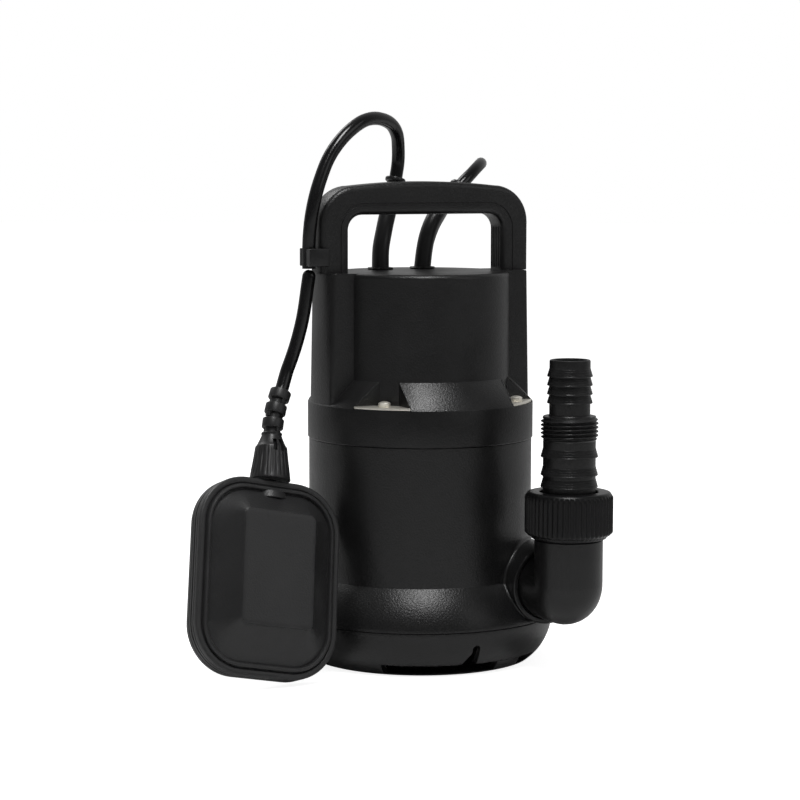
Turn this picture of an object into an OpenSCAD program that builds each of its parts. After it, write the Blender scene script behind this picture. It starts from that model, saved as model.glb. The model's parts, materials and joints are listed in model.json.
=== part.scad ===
// Submersible sump pump with a float switch, a discharge elbow and a stepped hose adapter.
// The origin lies on the pump's axis at the floor. +Z is up and the discharge port points along -Y.

/* [Strainer base] */
// Outer radius at the seam between strainer and housing
seam_r = 79.7; // [78:0.5:82]
// Height of that seam above the floor
seam_z = 27; // [25:0.5:28]
// Radius of the curve that rolls the bowl under
bowl_curve_r = 33; // [30:0.5:34]
// Wall of the strainer bowl
bowl_wall = 3; // [2.6:0.2:3.6]
// Height of the thin ring left under each low intake gap
foot_ring_h = 1.6; // [1.2:0.2:2]
// Height of each low intake gap
intake_h = 5.4; // [4.6:0.2:6]
// Angle spanned by each low intake gap
intake_span = 86; // [60:2:90]
// Number of intake gaps, with one arched slot over each
intake_count = 3; // [2:1:3]
// Width of an arched slot
arch_w = 4.4; // [3.6:0.2:6]
// Height of an arched slot's top above the floor
arch_top_z = 19; // [15:0.5:21]
// Thickness of the base plate
base_plate_t = 2.4; // [2:0.2:3]
// Radius of the circle of base screws
base_screw_circle_r = 59; // [58.6:0.1:59.2]
// Number of base screws
base_screw_count = 3; // [3:1:3]

/* [Pump housing] */
// Outer radius of the straight housing
body_r = 66.8; // [66:0.1:67.4]
// Height where the flared skirt meets the straight housing
flare_top_z = 51; // [47:0.5:54]
// Outward swell of the skirt
flare_swell = 2.2; // [1:0.1:3]
// Wall of the housing
housing_wall = 3.3; // [2.8:0.1:3.6]
// Height of the joint between housing and top cover
collar_z = 133; // [130:1:136]
// Underside of the bulkhead over the volute
bulkhead_z = 64; // [64:0.1:64.8]
// Thickness of that bulkhead
bulkhead_t = 3.6; // [3:0.2:4.4]
// Volute radius at its tongue
volute_start_r = 40; // [38:0.5:42]
// Volute radius at its throat
volute_end_r = 58; // [55:0.5:59]
// Wall of the volute
volute_wall = 2.5; // [2:0.1:3]
// Thickness of the suction plate
suction_plate_t = 3.2; // [2.6:0.2:4]
// Radius of the suction eye
eye_r = 17; // [14:0.5:20]

/* [Discharge port and elbow] */
// Distance of the port's axis from the pump's axis
port_x = 49.4; // [48.6:0.2:50.4]
// Height of the port's axis
port_z = 50; // [49.6:0.1:50.2]
// Distance of the port's rim in front of the pump's axis
port_y = 73; // [71:0.5:74.5]
// Outer radius of the port boss
port_r = 23.1; // [22.8:0.1:24]
// Depth of the socket that takes the elbow
socket_depth = 12; // [9:0.5:14]
// Outer radius of the elbow
elbow_r = 19.8; // [19:0.1:20.2]
// Bore radius of the port and the elbow
water_r = 13.5; // [12:0.1:13.8]
// Distance of the elbow's upright leg in front of the pump's axis
elbow_y = 97; // [96:0.5:100]
// Radius of the elbow's centreline in the bend
elbow_bend_r = 5; // [3:0.5:6]
// Height of the elbow's collar under the union nut
elbow_collar_z = 79.6; // [78:0.1:80]
// Height of the elbow's top face
elbow_top_z = 99; // [97.5:0.5:100.5]

/* [Union nut and hose adapter] */
// Radius of the union nut over its ribs
nut_r = 25.5; // [25:0.1:26.2]
// Underside of the union nut
nut_z = 81.6; // [81.4:0.1:82.4]
// Height of the union nut
nut_h = 27; // [26:0.1:28]
// Number of ribs round the union nut
nut_ribs = 52; // [36:1:60]
// Major radius of the elbow's thread and the nut's
union_thread_r = 21; // [20.6:0.1:21.4]
// Bore radius of the hose adapter
adapter_bore_r = 9.8; // [8:0.1:10.4]
// Radius of the lower hose tail, for 32 mm hose
tail_low_r = 15.2; // [14.9:0.1:15.4]
// Height where the male pipe thread starts
pipe_thread_z = 138; // [135.5:0.5:139.5]
// Length of the male pipe thread
pipe_thread_l = 14.2; // [10:0.2:16]
// Major radius of the male pipe thread, one inch parallel
pipe_thread_r = 16.6; // [16.4:0.1:16.8]
// Pitch of that thread
pipe_pitch = 2.309; // [1.8:0.001:2.5]
// Radius of the upper hose tail, for 25 mm hose
tail_high_r = 11.8; // [11.5:0.1:12.4]
// Height of the adapter's mouth
adapter_top_z = 184.6; // [182:0.2:187]
// How far the barbs stand out from both tails
barb_out = 1.3; // [0.8:0.1:1.5]
// Pitch of the upper barbs
barb_pitch = 5.1; // [4.4:0.1:5.6]

/* [Top cover] */
// Outer radius of the cover's collar
collar_r = 67.5; // [67.2:0.1:68.2]
// Height of the collar's upper edge
shoulder_z = 154.5; // [152:0.5:157]
// Height where the sloped shoulder meets the head
head_z = 169.7; // [167:0.5:172]
// Outer radius of the head
head_r = 53; // [51.5:0.1:54]
// Height of the head's flat top
head_top_z = 232; // [229:0.5:235]
// Wall of the top cover
cover_wall = 3.2; // [2.8:0.1:3.8]
// Half the width of each side pillar
pillar_half_w = 16.2; // [15:0.1:17]
// Pillar radius at the head's top
pillar_top_r = 65.4; // [65:0.1:66]
// Pillar radius at the collar
pillar_foot_r = 66.9; // [66.5:0.1:67.2]
// Distance of each corner recess's walls from the pump's axis
recess_wall = 33; // [31:0.5:35]
// Radius of the circle of cover screws
cover_screw_circle_r = 60.5; // [60.2:0.1:60.8]
// Shank radius of the cover screws
cover_screw_r = 2; // [1.6:0.1:2.2]
// Thickness of the steel clamp plates
clamp_plate_t = 1.5; // [1:0.1:2]

/* [Handle] */
// Half the handle's outer width
handle_half_w = 67.6; // [67:0.1:68]
// Half the width of the hand opening
window_half_w = 50.2; // [49:0.2:51.4]
// Depth of the handle, front to back
handle_depth = 18.4; // [17:0.2:20]
// Height of the handle above the head
handle_h = 53.4; // [51:0.2:56]
// Height of the hand opening
window_h = 34; // [32:0.2:36]
// Radius of the handle's gently crowned top
handle_crown_r = 420; // [300:10:600]
// Outer corner radius
handle_corner_r = 22; // [20:0.5:26]
// Inner corner radius
window_corner_r = 9; // [7:0.5:10]
// Depth of the step round the handle's edges
handle_step = 1.4; // [1:0.1:2]
// Length of the tongues that key the handle into the pillars
tongue_l = 14; // [11:0.5:16]

/* [Motor] */
// Outer radius of the motor can
can_r = 54; // [53.6:0.1:54.4]
// Wall of the motor can
can_wall = 1; // [0.8:0.1:1.2]
// Height of the motor can's rim
can_top_z = 150; // [149:0.5:151]
// Length of the laminated stack
stack_l = 50; // [44:1:52]
// Underside of the laminated stack
stack_z = 89; // [88.6:0.2:90]
// Bore radius of the stator
stator_bore_r = 26; // [25:0.1:27]
// Air gap between rotor and stator
air_gap = 0.4; // [0.3:0.05:0.6]
// Number of stator slots
slot_count = 24; // [18:6:30]
// Radius of the shaft
shaft_r = 5; // [4.8:0.1:5.2]
// Outer radius of the ball bearings
bearing_r = 15; // [14.6:0.1:15.4]
// Width of the ball bearings
bearing_w = 9; // [8:0.5:10]
// Radius of the bearing balls
ball_r = 2.35; // [2.1:0.05:2.45]
// Radius of the run capacitor
capacitor_r = 15; // [13:0.5:16]
// Length of the run capacitor
capacitor_l = 50; // [40:1:55]

/* [Impeller] */
// Radius of the impeller
impeller_r = 33; // [30:0.5:36]
// Underside of the vanes
vane_z = 37; // [36.5:0.5:38]
// Height of the vanes
vane_h = 12; // [9:0.5:13]
// Number of vanes
vane_count = 6; // [4:1:8]
// Thickness of a vane
vane_t = 2.4; // [2:0.1:3]

/* [Cables and strain reliefs] */
// Diameter of the float's cable
float_cable_d = 8; // [7:0.1:8.2]
// Diameter of the power cord
power_cord_d = 7.4; // [6.6:0.1:7.6]
// Offset of each cable outlet to either side of the pump's axis
outlet_x = 14; // [13:0.5:15]
// Offset of both cable outlets behind the pump's axis
outlet_y = 27.5; // [26.5:0.5:28.5]
// Radius of a strain relief at its foot
relief_foot_r = 5.3; // [5:0.1:5.8]
// Radius of a strain relief under its rim
relief_neck_r = 4.9; // [4.7:0.1:5]
// Radius of a strain relief's rim
relief_rim_r = 6.2; // [6:0.1:6.8]
// Number of loops in the power cord's coil
coil_loops = 9; // [5:1:9]
// Largest centreline radius of the coil
coil_outer_r = 53; // [53:0.5:56]
// Gap between neighbouring turns of the coil
coil_gap = 0.6; // [0.5:0.1:1]

/* [Float switch] */
// Width of the float
float_w = 89.6; // [86:0.2:93]
// Height of the float
float_h = 114; // [110:0.5:116]
// Corner radius of the float
float_corner_r = 28.8; // [25:0.2:32]
// Thickness of each shell's rim
float_rim_t = 6.5; // [5.5:0.1:7]
// Distance of each raised face from the float's middle plane
float_face = 19.3; // [17:0.1:21]
// Width of the raised face
face_w = 44; // [40:1:48]
// Height of the raised face
face_h = 65; // [60:1:70]
// Wall of the float shells
float_wall = 2.2; // [1.8:0.1:2.6]
// Travel of the ball in its tube
ball_travel = 14; // [10:0.5:16]

/* [Hidden] */
$fn = 96;

// Clearances
seat_gap = 0.05;        // pressed and seated parts of one body
slip_gap = 0.2;         // parts that slide together by hand
move_gap = 0.35;        // parts of different bodies that pass each other
cut = 1;                // how far a cutter runs past the face that it cuts

// Strainer and housing
gap_top_z = foot_ring_h + intake_h;
intake_mid_a = 270;
inner_seam_r = seam_r - housing_wall;
plate_z = seam_z + 0.3;
plate_top_z = plate_z + suction_plate_t;
bulkhead_top_z = bulkhead_z + bulkhead_t;
body_in_r = body_r - housing_wall;
flare_steps = 8;
skirt_lip = 1.5;
volute_turn = 330;
volute_step = 15;
volute_tongue_a = -30;
throat_y = 12;
screw_head_r = 3.4;
screw_head_h = 2.6;
rib_a = 14;
rib_span = 16;
base_screw_r = 1.7;
base_head_r = 2.9;
base_head_z = seam_z - 6;
base_screw_a = intake_mid_a + rib_a + rib_span / 2;
base_boss_r = 4.2;
base_screw_len = 11;
suction_screw_r = 1.5;
suction_screw_circle_r = 64;
suction_screw_a = 20;
suction_boss_r = 4;

// Motor stack
seal_plate_t = 3;
can_z = bulkhead_top_z + seal_plate_t;
bracket_z = can_z + can_wall;
bracket_r = can_r - can_wall - slip_gap;
lower_bearing_z = bracket_z + 3;
stack_top_z = stack_z + stack_l;
upper_bracket_z = can_top_z;
upper_bracket_t = 3;
upper_bearing_z = upper_bracket_z - bearing_w + upper_bracket_t - 1;
rotor_r = stator_bore_r - air_gap;
ball_pitch_r = (shaft_r + bearing_r) / 2;
race_gap = 0.05;
shaft_bottom_z = vane_z - 8;
shaft_end_r = shaft_r - 1;
impeller_top_z = vane_z + vane_h + 3;
seal_hole_r = shaft_r + 5;
slot_w = 3.6;
slot_mouth_w = 1.4;
slot_in_r = stator_bore_r + 2;
slot_l = 15;
bar_count = 18;
bar_r = 1.3;
bar_circle_r = rotor_r - 2.6;
cage_ring_h = 4;
lead_pitch = 6;
lead_r = 1.3;

// Discharge
elbow_end_y = port_y - socket_depth + slip_gap;
socket_r = elbow_r + slip_gap;
union_root_r = union_thread_r - 1.2;
nut_top_z = nut_z + nut_h;
adapter_flange_z = elbow_top_z + 1.6;
adapter_flange_t = 3;
adapter_flange_r = union_root_r - move_gap;
pipe_root_r = pipe_thread_r - 1.48;
pipe_top_z = pipe_thread_z + pipe_thread_l;
nut_lip_t = nut_top_z - adapter_flange_z - adapter_flange_t - slip_gap;

// Cover
cover_in_r = head_r - cover_wall;
collar_in_r = cover_screw_circle_r - cover_screw_r - 2.4;
collar_roof_z = shoulder_z - 1;
pillar_in_r = 40;
head_round_r = 2;
boss_r = cover_screw_r + 3.2;
cover_screw_bottom_z = collar_z - 20;
gasket_r = body_in_r + 1.4;

// Handle
handle_foot_z = head_top_z;
handle_top_z = head_top_z + handle_h;
window_top_z = head_top_z + window_h;
tongue_w = 8;
tongue_d = 10;
tongue_x = (handle_half_w + window_half_w) / 2;
handle_screw_r = 1.9;
handle_screw_z = head_top_z - tongue_l / 2;

// Cable clip on the outside of the left leg
clip_z = head_top_z + 4.2;
clip_h = 10.4;
clip_x = -72.8;
clip_y = -1.5;
clip_wall = 2.8;
clip_reach = 3.1;
pivot_drop = 6;
pivot = [clip_x, clip_y, clip_z - pivot_drop];

// Float: its middle stands at float_pos, rolled, then leaned back, then turned
float_pos = [-115.8, -37.6, 59.4];
float_roll = 11.6;
float_lean = 17;
float_turn = 6.7;
boot_x = 1.2;
boot_bend = 5.5;
bell_r = 11.9;
bell_top_r = 9.2;
bell_h = 21;
neck_r = 5.9;
neck_h = 29.5;
ring_r = 6.2;
ring_h = 5.4;
ring_pitch = 9;
ring_count = 3;
ridge_w = 2.2;
ridge_h = 1.4;
rim_flat = 4.4;
seal_bead = 1;
tube_r = 7;
tube_wall = 1.2;
tube_floor = 1.5;
tube_low = -16;
ball_clear = 0.3;
float_ball_r = tube_r - tube_wall - ball_clear;
ball_low = tube_low + tube_floor + float_ball_r + 0.05;
tube_l = ball_travel + 2 * float_ball_r + tube_floor + 3;
switch_z = tube_low + tube_l + 1.5;
switch_half_t = 5;
weight_z = -30;
weight_half_t = 6;
post_r = 2.5;

// Routes of the cables, from outlet to end
relief_route_float = [[-14, 27.5, 232], [-13.5, 28, 244], [-11, 29.5, 254], [-8, 31, 264],
    [-4, 33.5, 274.5], [0, 36, 287]];
relief_route_power = [[14, 27.5, 232], [15.5, 27.5, 244], [18.2, 28, 254], [23, 29, 263],
    [31.5, 31, 273], [42, 33.7, 281.6]];
float_route_upper = [[0, 36, 287], [1.5, 36, 296.5], [0.5, 33.5, 305.5], [-3, 28, 313.6],
    [-10, 22, 319.8], [-21.5, 14.5, 322.6], [-33, 8.5, 321.2], [-44, 4, 315.4],
    [-53, 1.5, 307.5], [-59.8, 0, 298.5], [-65, -2, 288.5], [-69, -3.5, 278.5],
    [-71.6, -3.5, 267.5], [-72.7, -2.5, 256.5], [-72.8, -1.5, 246], [-72.8, -1.5, 234.7]];
float_route_lower = [[-73.9, -1.4, 223], [-75.1, -1.1, 214], [-76.6, -0.6, 205],
    [-78.5, 0.1, 196.5], [-80.7, 0.8, 188.5], [-83.3, 1.2, 181], [-86, 0.9, 174.5]];
power_route = [[42, 33.7, 281.6], [48, 35.5, 286.5], [56, 40.5, 292], [62.9, 47.8, 295.1],
    [68.1, 57.1, 295.6], [70.7, 66.6, 293.5], [70.7, 76.3, 289], [67.9, 84.3, 282.7],
    [63.2, 89.9, 273.6], [59, 95, 264], [56, 100.5, 254.5], [54.3, 104.5, 245], [53.2, 107, 235],
    [52.4, 108.5, 224], [52.3, 107.5, 203], [57, 101, 175], [66, 95, 145], [75, 90.5, 115],
    [82.5, 86.5, 85], [87, 84, 60], [88, 83, 38], [84.5, 85, 20], [74.5, 89.5, 9]];
tail_route = [[34, 108.5, 29], [20.5, 114.5, 27.5], [7, 121, 20.5], [-2, 125, 15]];
coil_pos = [70, 150];
coil_start_a = 245;
coil_floor = 1.5;
coil_layers = 4;
rings_per_loop = 24;
coil_sides = 6;
tie_a = 110;
tie_w = 9;
tie_t = 1;
plug_half = 12.6;
plug_relief_l = 24;
plug_body_l = 30;
plug_pos = [-16, 131.5, plug_half];
plug_a = 155;
cable_sides = 10;

// ---------- functions ----------

function unit(v) = v / norm(v);

// Directions along a route, one at each point. What the route's ends meet gives before and after.
function headings(p, before, after) = let (n = len(p),
    all = concat([is_undef(before) ? p[0] : before], p, [is_undef(after) ? p[n - 1] : after]))
    [for (i = [0:n - 1]) unit(all[i + 2] - all[i])];

// A side vector at each point that doesn't twist round the route
function sides_of(t) = [for (i = 0, s = unit(cross(t[0], [0.31, 0.22, 0.93]));
    i < len(t);
    i = i + 1, s = i < len(t) ? unit(s - (s * t[i]) * t[i]) : s) s];

// All points of a tube: one ring of n points at each route point
function tube_points(p, r, n, before, after) = let (t = headings(p, before, after), s = sides_of(t))
    [for (i = [0:len(p) - 1]) let (w = cross(t[i], s[i])) for (k = [0:n - 1])
        p[i] + r[i] * (cos(k * 360 / n) * s[i] + sin(k * 360 / n) * w)];

function tube_faces(m, n) = concat(
    [for (i = [0:m - 2]) for (k = [0:n - 1]) let (a = i * n + k, b = i * n + (k + 1) % n)
        each [[a, a + n, b], [b, a + n, b + n]]],
    [for (k = [1:n - 2]) [0, k, k + 1]],
    [for (k = [1:n - 2]) let (e = (m - 1) * n) [e, e + k + 1, e + k]]);

function same(v, n) = [for (i = [0:n - 1]) v];

// Points of a coil that spirals in and out in layers, climbing where the spiral reverses
coil_pitch = power_cord_d + coil_gap;
layer_loops = coil_loops / coil_layers;
function layer_of(t) = min(floor(t / layer_loops), coil_layers - 1);
function fold(t) = let (k = layer_of(t), f = (t - k * layer_loops)) k % 2 == 0 ? f : layer_loops - f;
function coil_r(t) = coil_outer_r - coil_pitch * fold(t);
function climbed(t) = let (e = [for (k = [1:coil_layers - 1])
    min(1, max(0, (t - k * layer_loops) * 2 + 0.5))]) e * same(1, coil_layers - 1);
function coil_point(t) = let (a = coil_start_a - 360 * t)
    [coil_pos[0] + coil_r(t) * cos(a), coil_pos[1] + coil_r(t) * sin(a),
        coil_floor + power_cord_d / 2 + coil_pitch * climbed(t)];
// Both ends run on straight for one cord diameter
coil_lead = power_cord_d * [sin(coil_start_a), -cos(coil_start_a), 0];
function coil_points(n) = concat([coil_point(0) - coil_lead],
    [for (i = [0:coil_loops * n]) coil_point(i / n)], [coil_point(coil_loops) + coil_lead]);
coil_path = coil_points(rings_per_loop);
coil_in = coil_path[0];
coil_out = coil_path[len(coil_path) - 1];
probe = 48;
probe_path = coil_points(probe);
coil_least_gap = min([for (i = [0:len(probe_path) - 1])
    for (j = [i + probe / 2:len(probe_path) - 1]) norm(probe_path[i] - probe_path[j])])
    - power_cord_d;
echo(coil_least_gap = coil_least_gap);

function route_length(p) = len(p) < 2 ? 0 : [for (i = [1:len(p) - 1]) norm(p[i] - p[i - 1])]
    * same(1, len(p) - 1);

// A point of the float given across, forward and up from its middle
function rolled(p) = [p[0] * cos(float_roll) + p[2] * sin(float_roll), p[1],
    p[2] * cos(float_roll) - p[0] * sin(float_roll)];
function leaned(p) = [p[0], p[1] * cos(float_lean) + p[2] * sin(float_lean),
    p[2] * cos(float_lean) - p[1] * sin(float_lean)];
function turned(p) = [p[0] * cos(float_turn) - p[1] * sin(float_turn),
    p[0] * sin(float_turn) + p[1] * cos(float_turn), p[2]];
function float_point(p) = float_pos + turned(leaned(rolled(p)));
// Joint k of the boot's ribbed neck, which bends a little at each ring
function boot_joint(k) = k == 0 ? [boot_x, 0, float_h / 2 + neck_h]
    : boot_joint(k - 1) + ring_pitch * [sin(k * boot_bend), 0, cos(k * boot_bend)];
boot_tip = float_point(boot_joint(ring_count));
boot_axis = unit(boot_tip - float_point(boot_joint(ring_count - 1)));
power_path = concat(power_route, [coil_in - coil_lead, coil_in]);
plug_way = [cos(plug_a), sin(plug_a), 0];
tail_path = concat([coil_out], tail_route, [plug_pos - power_cord_d * plug_way, plug_pos]);
echo(power_cord_length = route_length(power_path) + route_length(coil_path)
    + route_length(tail_path));
echo(float_cable_length = route_length(float_route_upper)
    + route_length(concat([pivot], float_route_lower, [boot_tip])));

// ---------- shared shapes ----------

module ring(r_out, r_in, h) {
    difference() {
        cylinder(r = r_out, h = h);
        translate([0, 0, -cut]) cylinder(r = r_in, h = h + 2 * cut);
    }
}

// A stack of radii against heights, turned about Z
module turned_part(points) {
    rotate_extrude() polygon(points);
}

module around(count, start = 0) {
    for (k = [0:count - 1]) rotate([0, 0, start + k * 360 / count]) children();
}

module tube(p, r, n = cable_sides, before = undef, after = undef) {
    polyhedron(points = tube_points(p, r, n, before, after), faces = tube_faces(len(p), n));
}

// Pan-head screw: the head stands on z = 0 and the shank points down
module pan_screw(r, len, head_r = screw_head_r, head_h = screw_head_h) {
    recess_w = head_r * 0.28;
    difference() {
        union() {
            intersection() {
                cylinder(r = head_r, h = head_h);
                translate([0, 0, head_h - head_r * 1.9]) sphere(r = head_r * 1.9);
            }
            translate([0, 0, -len]) cylinder(r = r, h = len + seat_gap);
        }
        for (a = [0, 90]) rotate([0, 0, a])
            translate([-head_r * 0.62, -recess_w / 2, head_h * 0.45])
                cube([head_r * 1.24, recess_w, head_h]);
    }
}

// ---------- strainer and housing ----------

module bowl_section(inset) {
    intersection() {
        union() {
            translate([seam_r - bowl_curve_r, seam_z]) circle(r = bowl_curve_r - inset);
            square([seam_r - bowl_curve_r, seam_z]);
        }
        square([seam_r, seam_z]);
    }
}

module arch_cutter() {
    rotate([90, 0, 0]) translate([0, 0, inner_seam_r - 22]) linear_extrude(30) {
        translate([-arch_w / 2, gap_top_z - cut])
            square([arch_w, arch_top_z - arch_w / 2 - gap_top_z + cut]);
        translate([0, arch_top_z - arch_w / 2]) circle(d = arch_w);
    }
}

// Radius of the bowl's inner face at a height
function bowl_in_r(z) = seam_r - bowl_curve_r
    + sqrt(max(0, pow(bowl_curve_r - bowl_wall, 2) - pow(seam_z + base_plate_t - z, 2)));

// Radius of the bowl's outer face at a height
function bowl_out_r(z) = seam_r - bowl_curve_r + sqrt(max(0, pow(bowl_curve_r, 2) - pow(seam_z - z, 2)));

// Flat slanted cheek that widens an arched slot to one side
module arch_cheek() {
    cheek_top_z = arch_top_z - arch_w;
    tilt = atan((bowl_out_r(cheek_top_z) - bowl_in_r(gap_top_z)) / (cheek_top_z - gap_top_z) / sqrt(2));
    intersection() {
        translate([-arch_w / 2, -bowl_in_r(gap_top_z), gap_top_z]) rotate([0, tilt, -45])
            translate([0, -30, -30]) cube([30, 60, 60]);
        translate([-16, -seam_r - 2, gap_top_z - cut]) cube([16, 25, 2 * cut + arch_top_z - gap_top_z]);
    }
}

module strainer_base() color([0.075, 0.075, 0.08]) {
    difference() {
        union() {
            difference() {
                rotate_extrude() difference() {
                    bowl_section(0);
                    translate([0, base_plate_t]) bowl_section(bowl_wall);
                }
                around(intake_count, intake_mid_a - intake_span / 2)
                    translate([0, 0, foot_ring_h]) rotate_extrude(angle = intake_span)
                        translate([seam_r - bowl_curve_r + 5, 0])
                            square([bowl_curve_r + 5, intake_h]);
                around(intake_count, intake_mid_a - 270) arch_cutter();
                around(intake_count, intake_mid_a - 270) arch_cheek();
            }
            // Ribs set back behind the gaps
            intersection() {
                rotate_extrude() bowl_section(bowl_wall - 0.2);
                around(intake_count, intake_mid_a + rib_a) rotate_extrude(angle = rib_span)
                    translate([seam_r - bowl_curve_r + 9, base_plate_t / 2])
                        square([bowl_curve_r, gap_top_z + 4]);
            }
            // Screw posts
            intersection() {
                around(base_screw_count, base_screw_a) translate([base_screw_circle_r, 0, 0])
                    translate([0, 0, 0.2]) cylinder(r = base_boss_r, h = seam_z - 0.2);
                rotate_extrude() bowl_section(0.2);
            }
        }
        around(base_screw_count, base_screw_a) translate([base_screw_circle_r, 0, -cut]) {
            cylinder(r = base_screw_r + slip_gap, h = seam_z + 2 * cut);
            cylinder(r = base_head_r + slip_gap, h = base_head_z + cut);
        }
    }
}

module base_screws() color([0.72, 0.73, 0.74]) {
    around(base_screw_count, base_screw_a)
        translate([base_screw_circle_r, 0, base_head_z]) mirror([0, 0, 1])
            pan_screw(base_screw_r, seam_z - base_head_z + base_screw_len, base_head_r, 2.2);
}

// Outer radius of the flare at a height
function flare_r(z) = let (a = [seam_r, seam_z + skirt_lip], b = [body_r, flare_top_z],
    f = max(0, (z - a[1]) / (b[1] - a[1])))
    a[0] + (b[0] - a[0]) * f + flare_swell * 4 * f * (1 - f) * (b[1] - a[1]) / norm(b - a);

function flare_points(inset) = let (low = seam_z + skirt_lip)
    [for (k = [0:flare_steps]) let (z = low + (flare_top_z - low) * k / flare_steps)
        [flare_r(z) - inset, z]];

module housing_outer() {
    turned_part(concat([[0, seam_z], [seam_r, seam_z]], flare_points(0),
        [[body_r, collar_z], [0, collar_z]]));
}

module lower_cavity() {
    rotate_extrude() intersection() {
        polygon(concat([[0, seam_z - cut], [inner_seam_r, seam_z - cut]],
            flare_points(housing_wall), [[body_in_r, collar_z], [0, collar_z]]));
        translate([0, seam_z - cut]) square([seam_r, bulkhead_z - seam_z + cut]);
    }
}

function volute_points(extra) = [for (a = [0:volute_step:volute_turn])
    let (r = volute_start_r + (volute_end_r - volute_start_r) * a / volute_turn + extra,
        w = volute_tongue_a - a) [r * cos(w), r * sin(w)]];

module volute_shape(extra, h) {
    linear_extrude(h) polygon(volute_points(extra));
}

module along_port() {
    translate([port_x, 0, port_z]) rotate([90, 0, 0]) children();
}

// Port boss, outside the housing only
module port_boss(gap) {
    difference() {
        along_port() translate([0, 0, throat_y]) {
            cylinder(r = port_r + gap, h = port_y - throat_y);
            sphere(r = port_r + gap);
        }
        cylinder(r = body_r - housing_wall / 2 - gap, h = collar_z);
    }
}

module pump_housing() color([0.075, 0.075, 0.08]) {
    difference() {
        union() {
            difference() {
                housing_outer();
                difference() {
                    lower_cavity();
                    translate([0, 0, plate_top_z]) volute_shape(volute_wall, bulkhead_z);
                    along_port() translate([0, 0, throat_y])
                        cylinder(r = water_r + volute_wall, h = port_y);
                    around(base_screw_count, base_screw_a)
                        translate([base_screw_circle_r, 0, plate_top_z])
                            cylinder(r = base_boss_r, h = bulkhead_z);
                    around(3, suction_screw_a) translate([suction_screw_circle_r, 0, plate_top_z])
                        cylinder(r = suction_boss_r, h = bulkhead_z);
                }
            }
            difference() {
                port_boss(0);
                translate([0, 0, -cut]) cylinder(r = seam_r + slip_gap, h = seam_z + cut);
            }
        }
        // Motor chamber, leaving a boss for each cover screw
        difference() {
            translate([0, 0, bulkhead_top_z]) cylinder(r = body_in_r, h = collar_z);
            around(4, 45) translate([cover_screw_circle_r, 0, collar_z - 26])
                cylinder(r = boss_r, h = 40);
        }
        translate([0, 0, plate_top_z - cut]) volute_shape(0, bulkhead_z - plate_top_z + cut);
        along_port() translate([0, 0, throat_y]) cylinder(r = water_r, h = port_y);
        along_port() translate([0, 0, port_y - socket_depth])
            cylinder(r = socket_r, h = socket_depth + cut);
        cylinder(r = seal_hole_r, h = collar_z);
        around(4, 45) translate([cover_screw_circle_r, 0, cover_screw_bottom_z - 1])
            cylinder(r = cover_screw_r + seat_gap, h = 60);
        around(base_screw_count, base_screw_a) translate([base_screw_circle_r, 0, 0])
            cylinder(r = base_screw_r + seat_gap, h = seam_z + base_screw_len + 1);
        around(3, suction_screw_a) translate([suction_screw_circle_r, 0, 0])
            cylinder(r = suction_screw_r + seat_gap, h = plate_top_z + 9);
        // Groove for the gasket
        translate([0, 0, collar_z - 0.9]) ring(gasket_r + 0.8, gasket_r - 0.8, 2);
    }
}

module suction_plate() color([0.16, 0.16, 0.17]) {
    plate_r = flare_r(plate_top_z) - housing_wall - slip_gap;
    difference() {
        union() {
            translate([0, 0, plate_z]) cylinder(r = plate_r, h = suction_plate_t - seat_gap);
            translate([0, 0, plate_z - 3]) cylinder(r = eye_r + 2, h = 3 + cut);
        }
        translate([0, 0, plate_z - 4]) cylinder(r = eye_r, h = suction_plate_t + 5);
        around(3, suction_screw_a) translate([suction_screw_circle_r, 0, plate_z - cut])
            cylinder(r = suction_screw_r + slip_gap, h = suction_plate_t + 2 * cut);
        around(base_screw_count, base_screw_a) translate([base_screw_circle_r, 0, plate_z - cut])
            cylinder(r = base_screw_r + slip_gap, h = suction_plate_t + 2 * cut);
        port_boss(slip_gap);
    }
}

module suction_screws() color([0.72, 0.73, 0.74]) {
    around(3, suction_screw_a) translate([suction_screw_circle_r, 0, plate_z]) mirror([0, 0, 1])
        pan_screw(suction_screw_r, suction_plate_t + 8, 3, 2);
}

// ---------- discharge ----------

module elbow_bend(r) {
    translate([port_x, -elbow_y + elbow_bend_r, port_z + elbow_bend_r]) rotate([0, 90, 0])
        rotate([0, 0, -90]) rotate_extrude(angle = 90) intersection() {
            translate([elbow_bend_r, 0]) circle(r = r);
            translate([0, -r]) square([elbow_bend_r + r, 2 * r]);
        }
}

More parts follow.
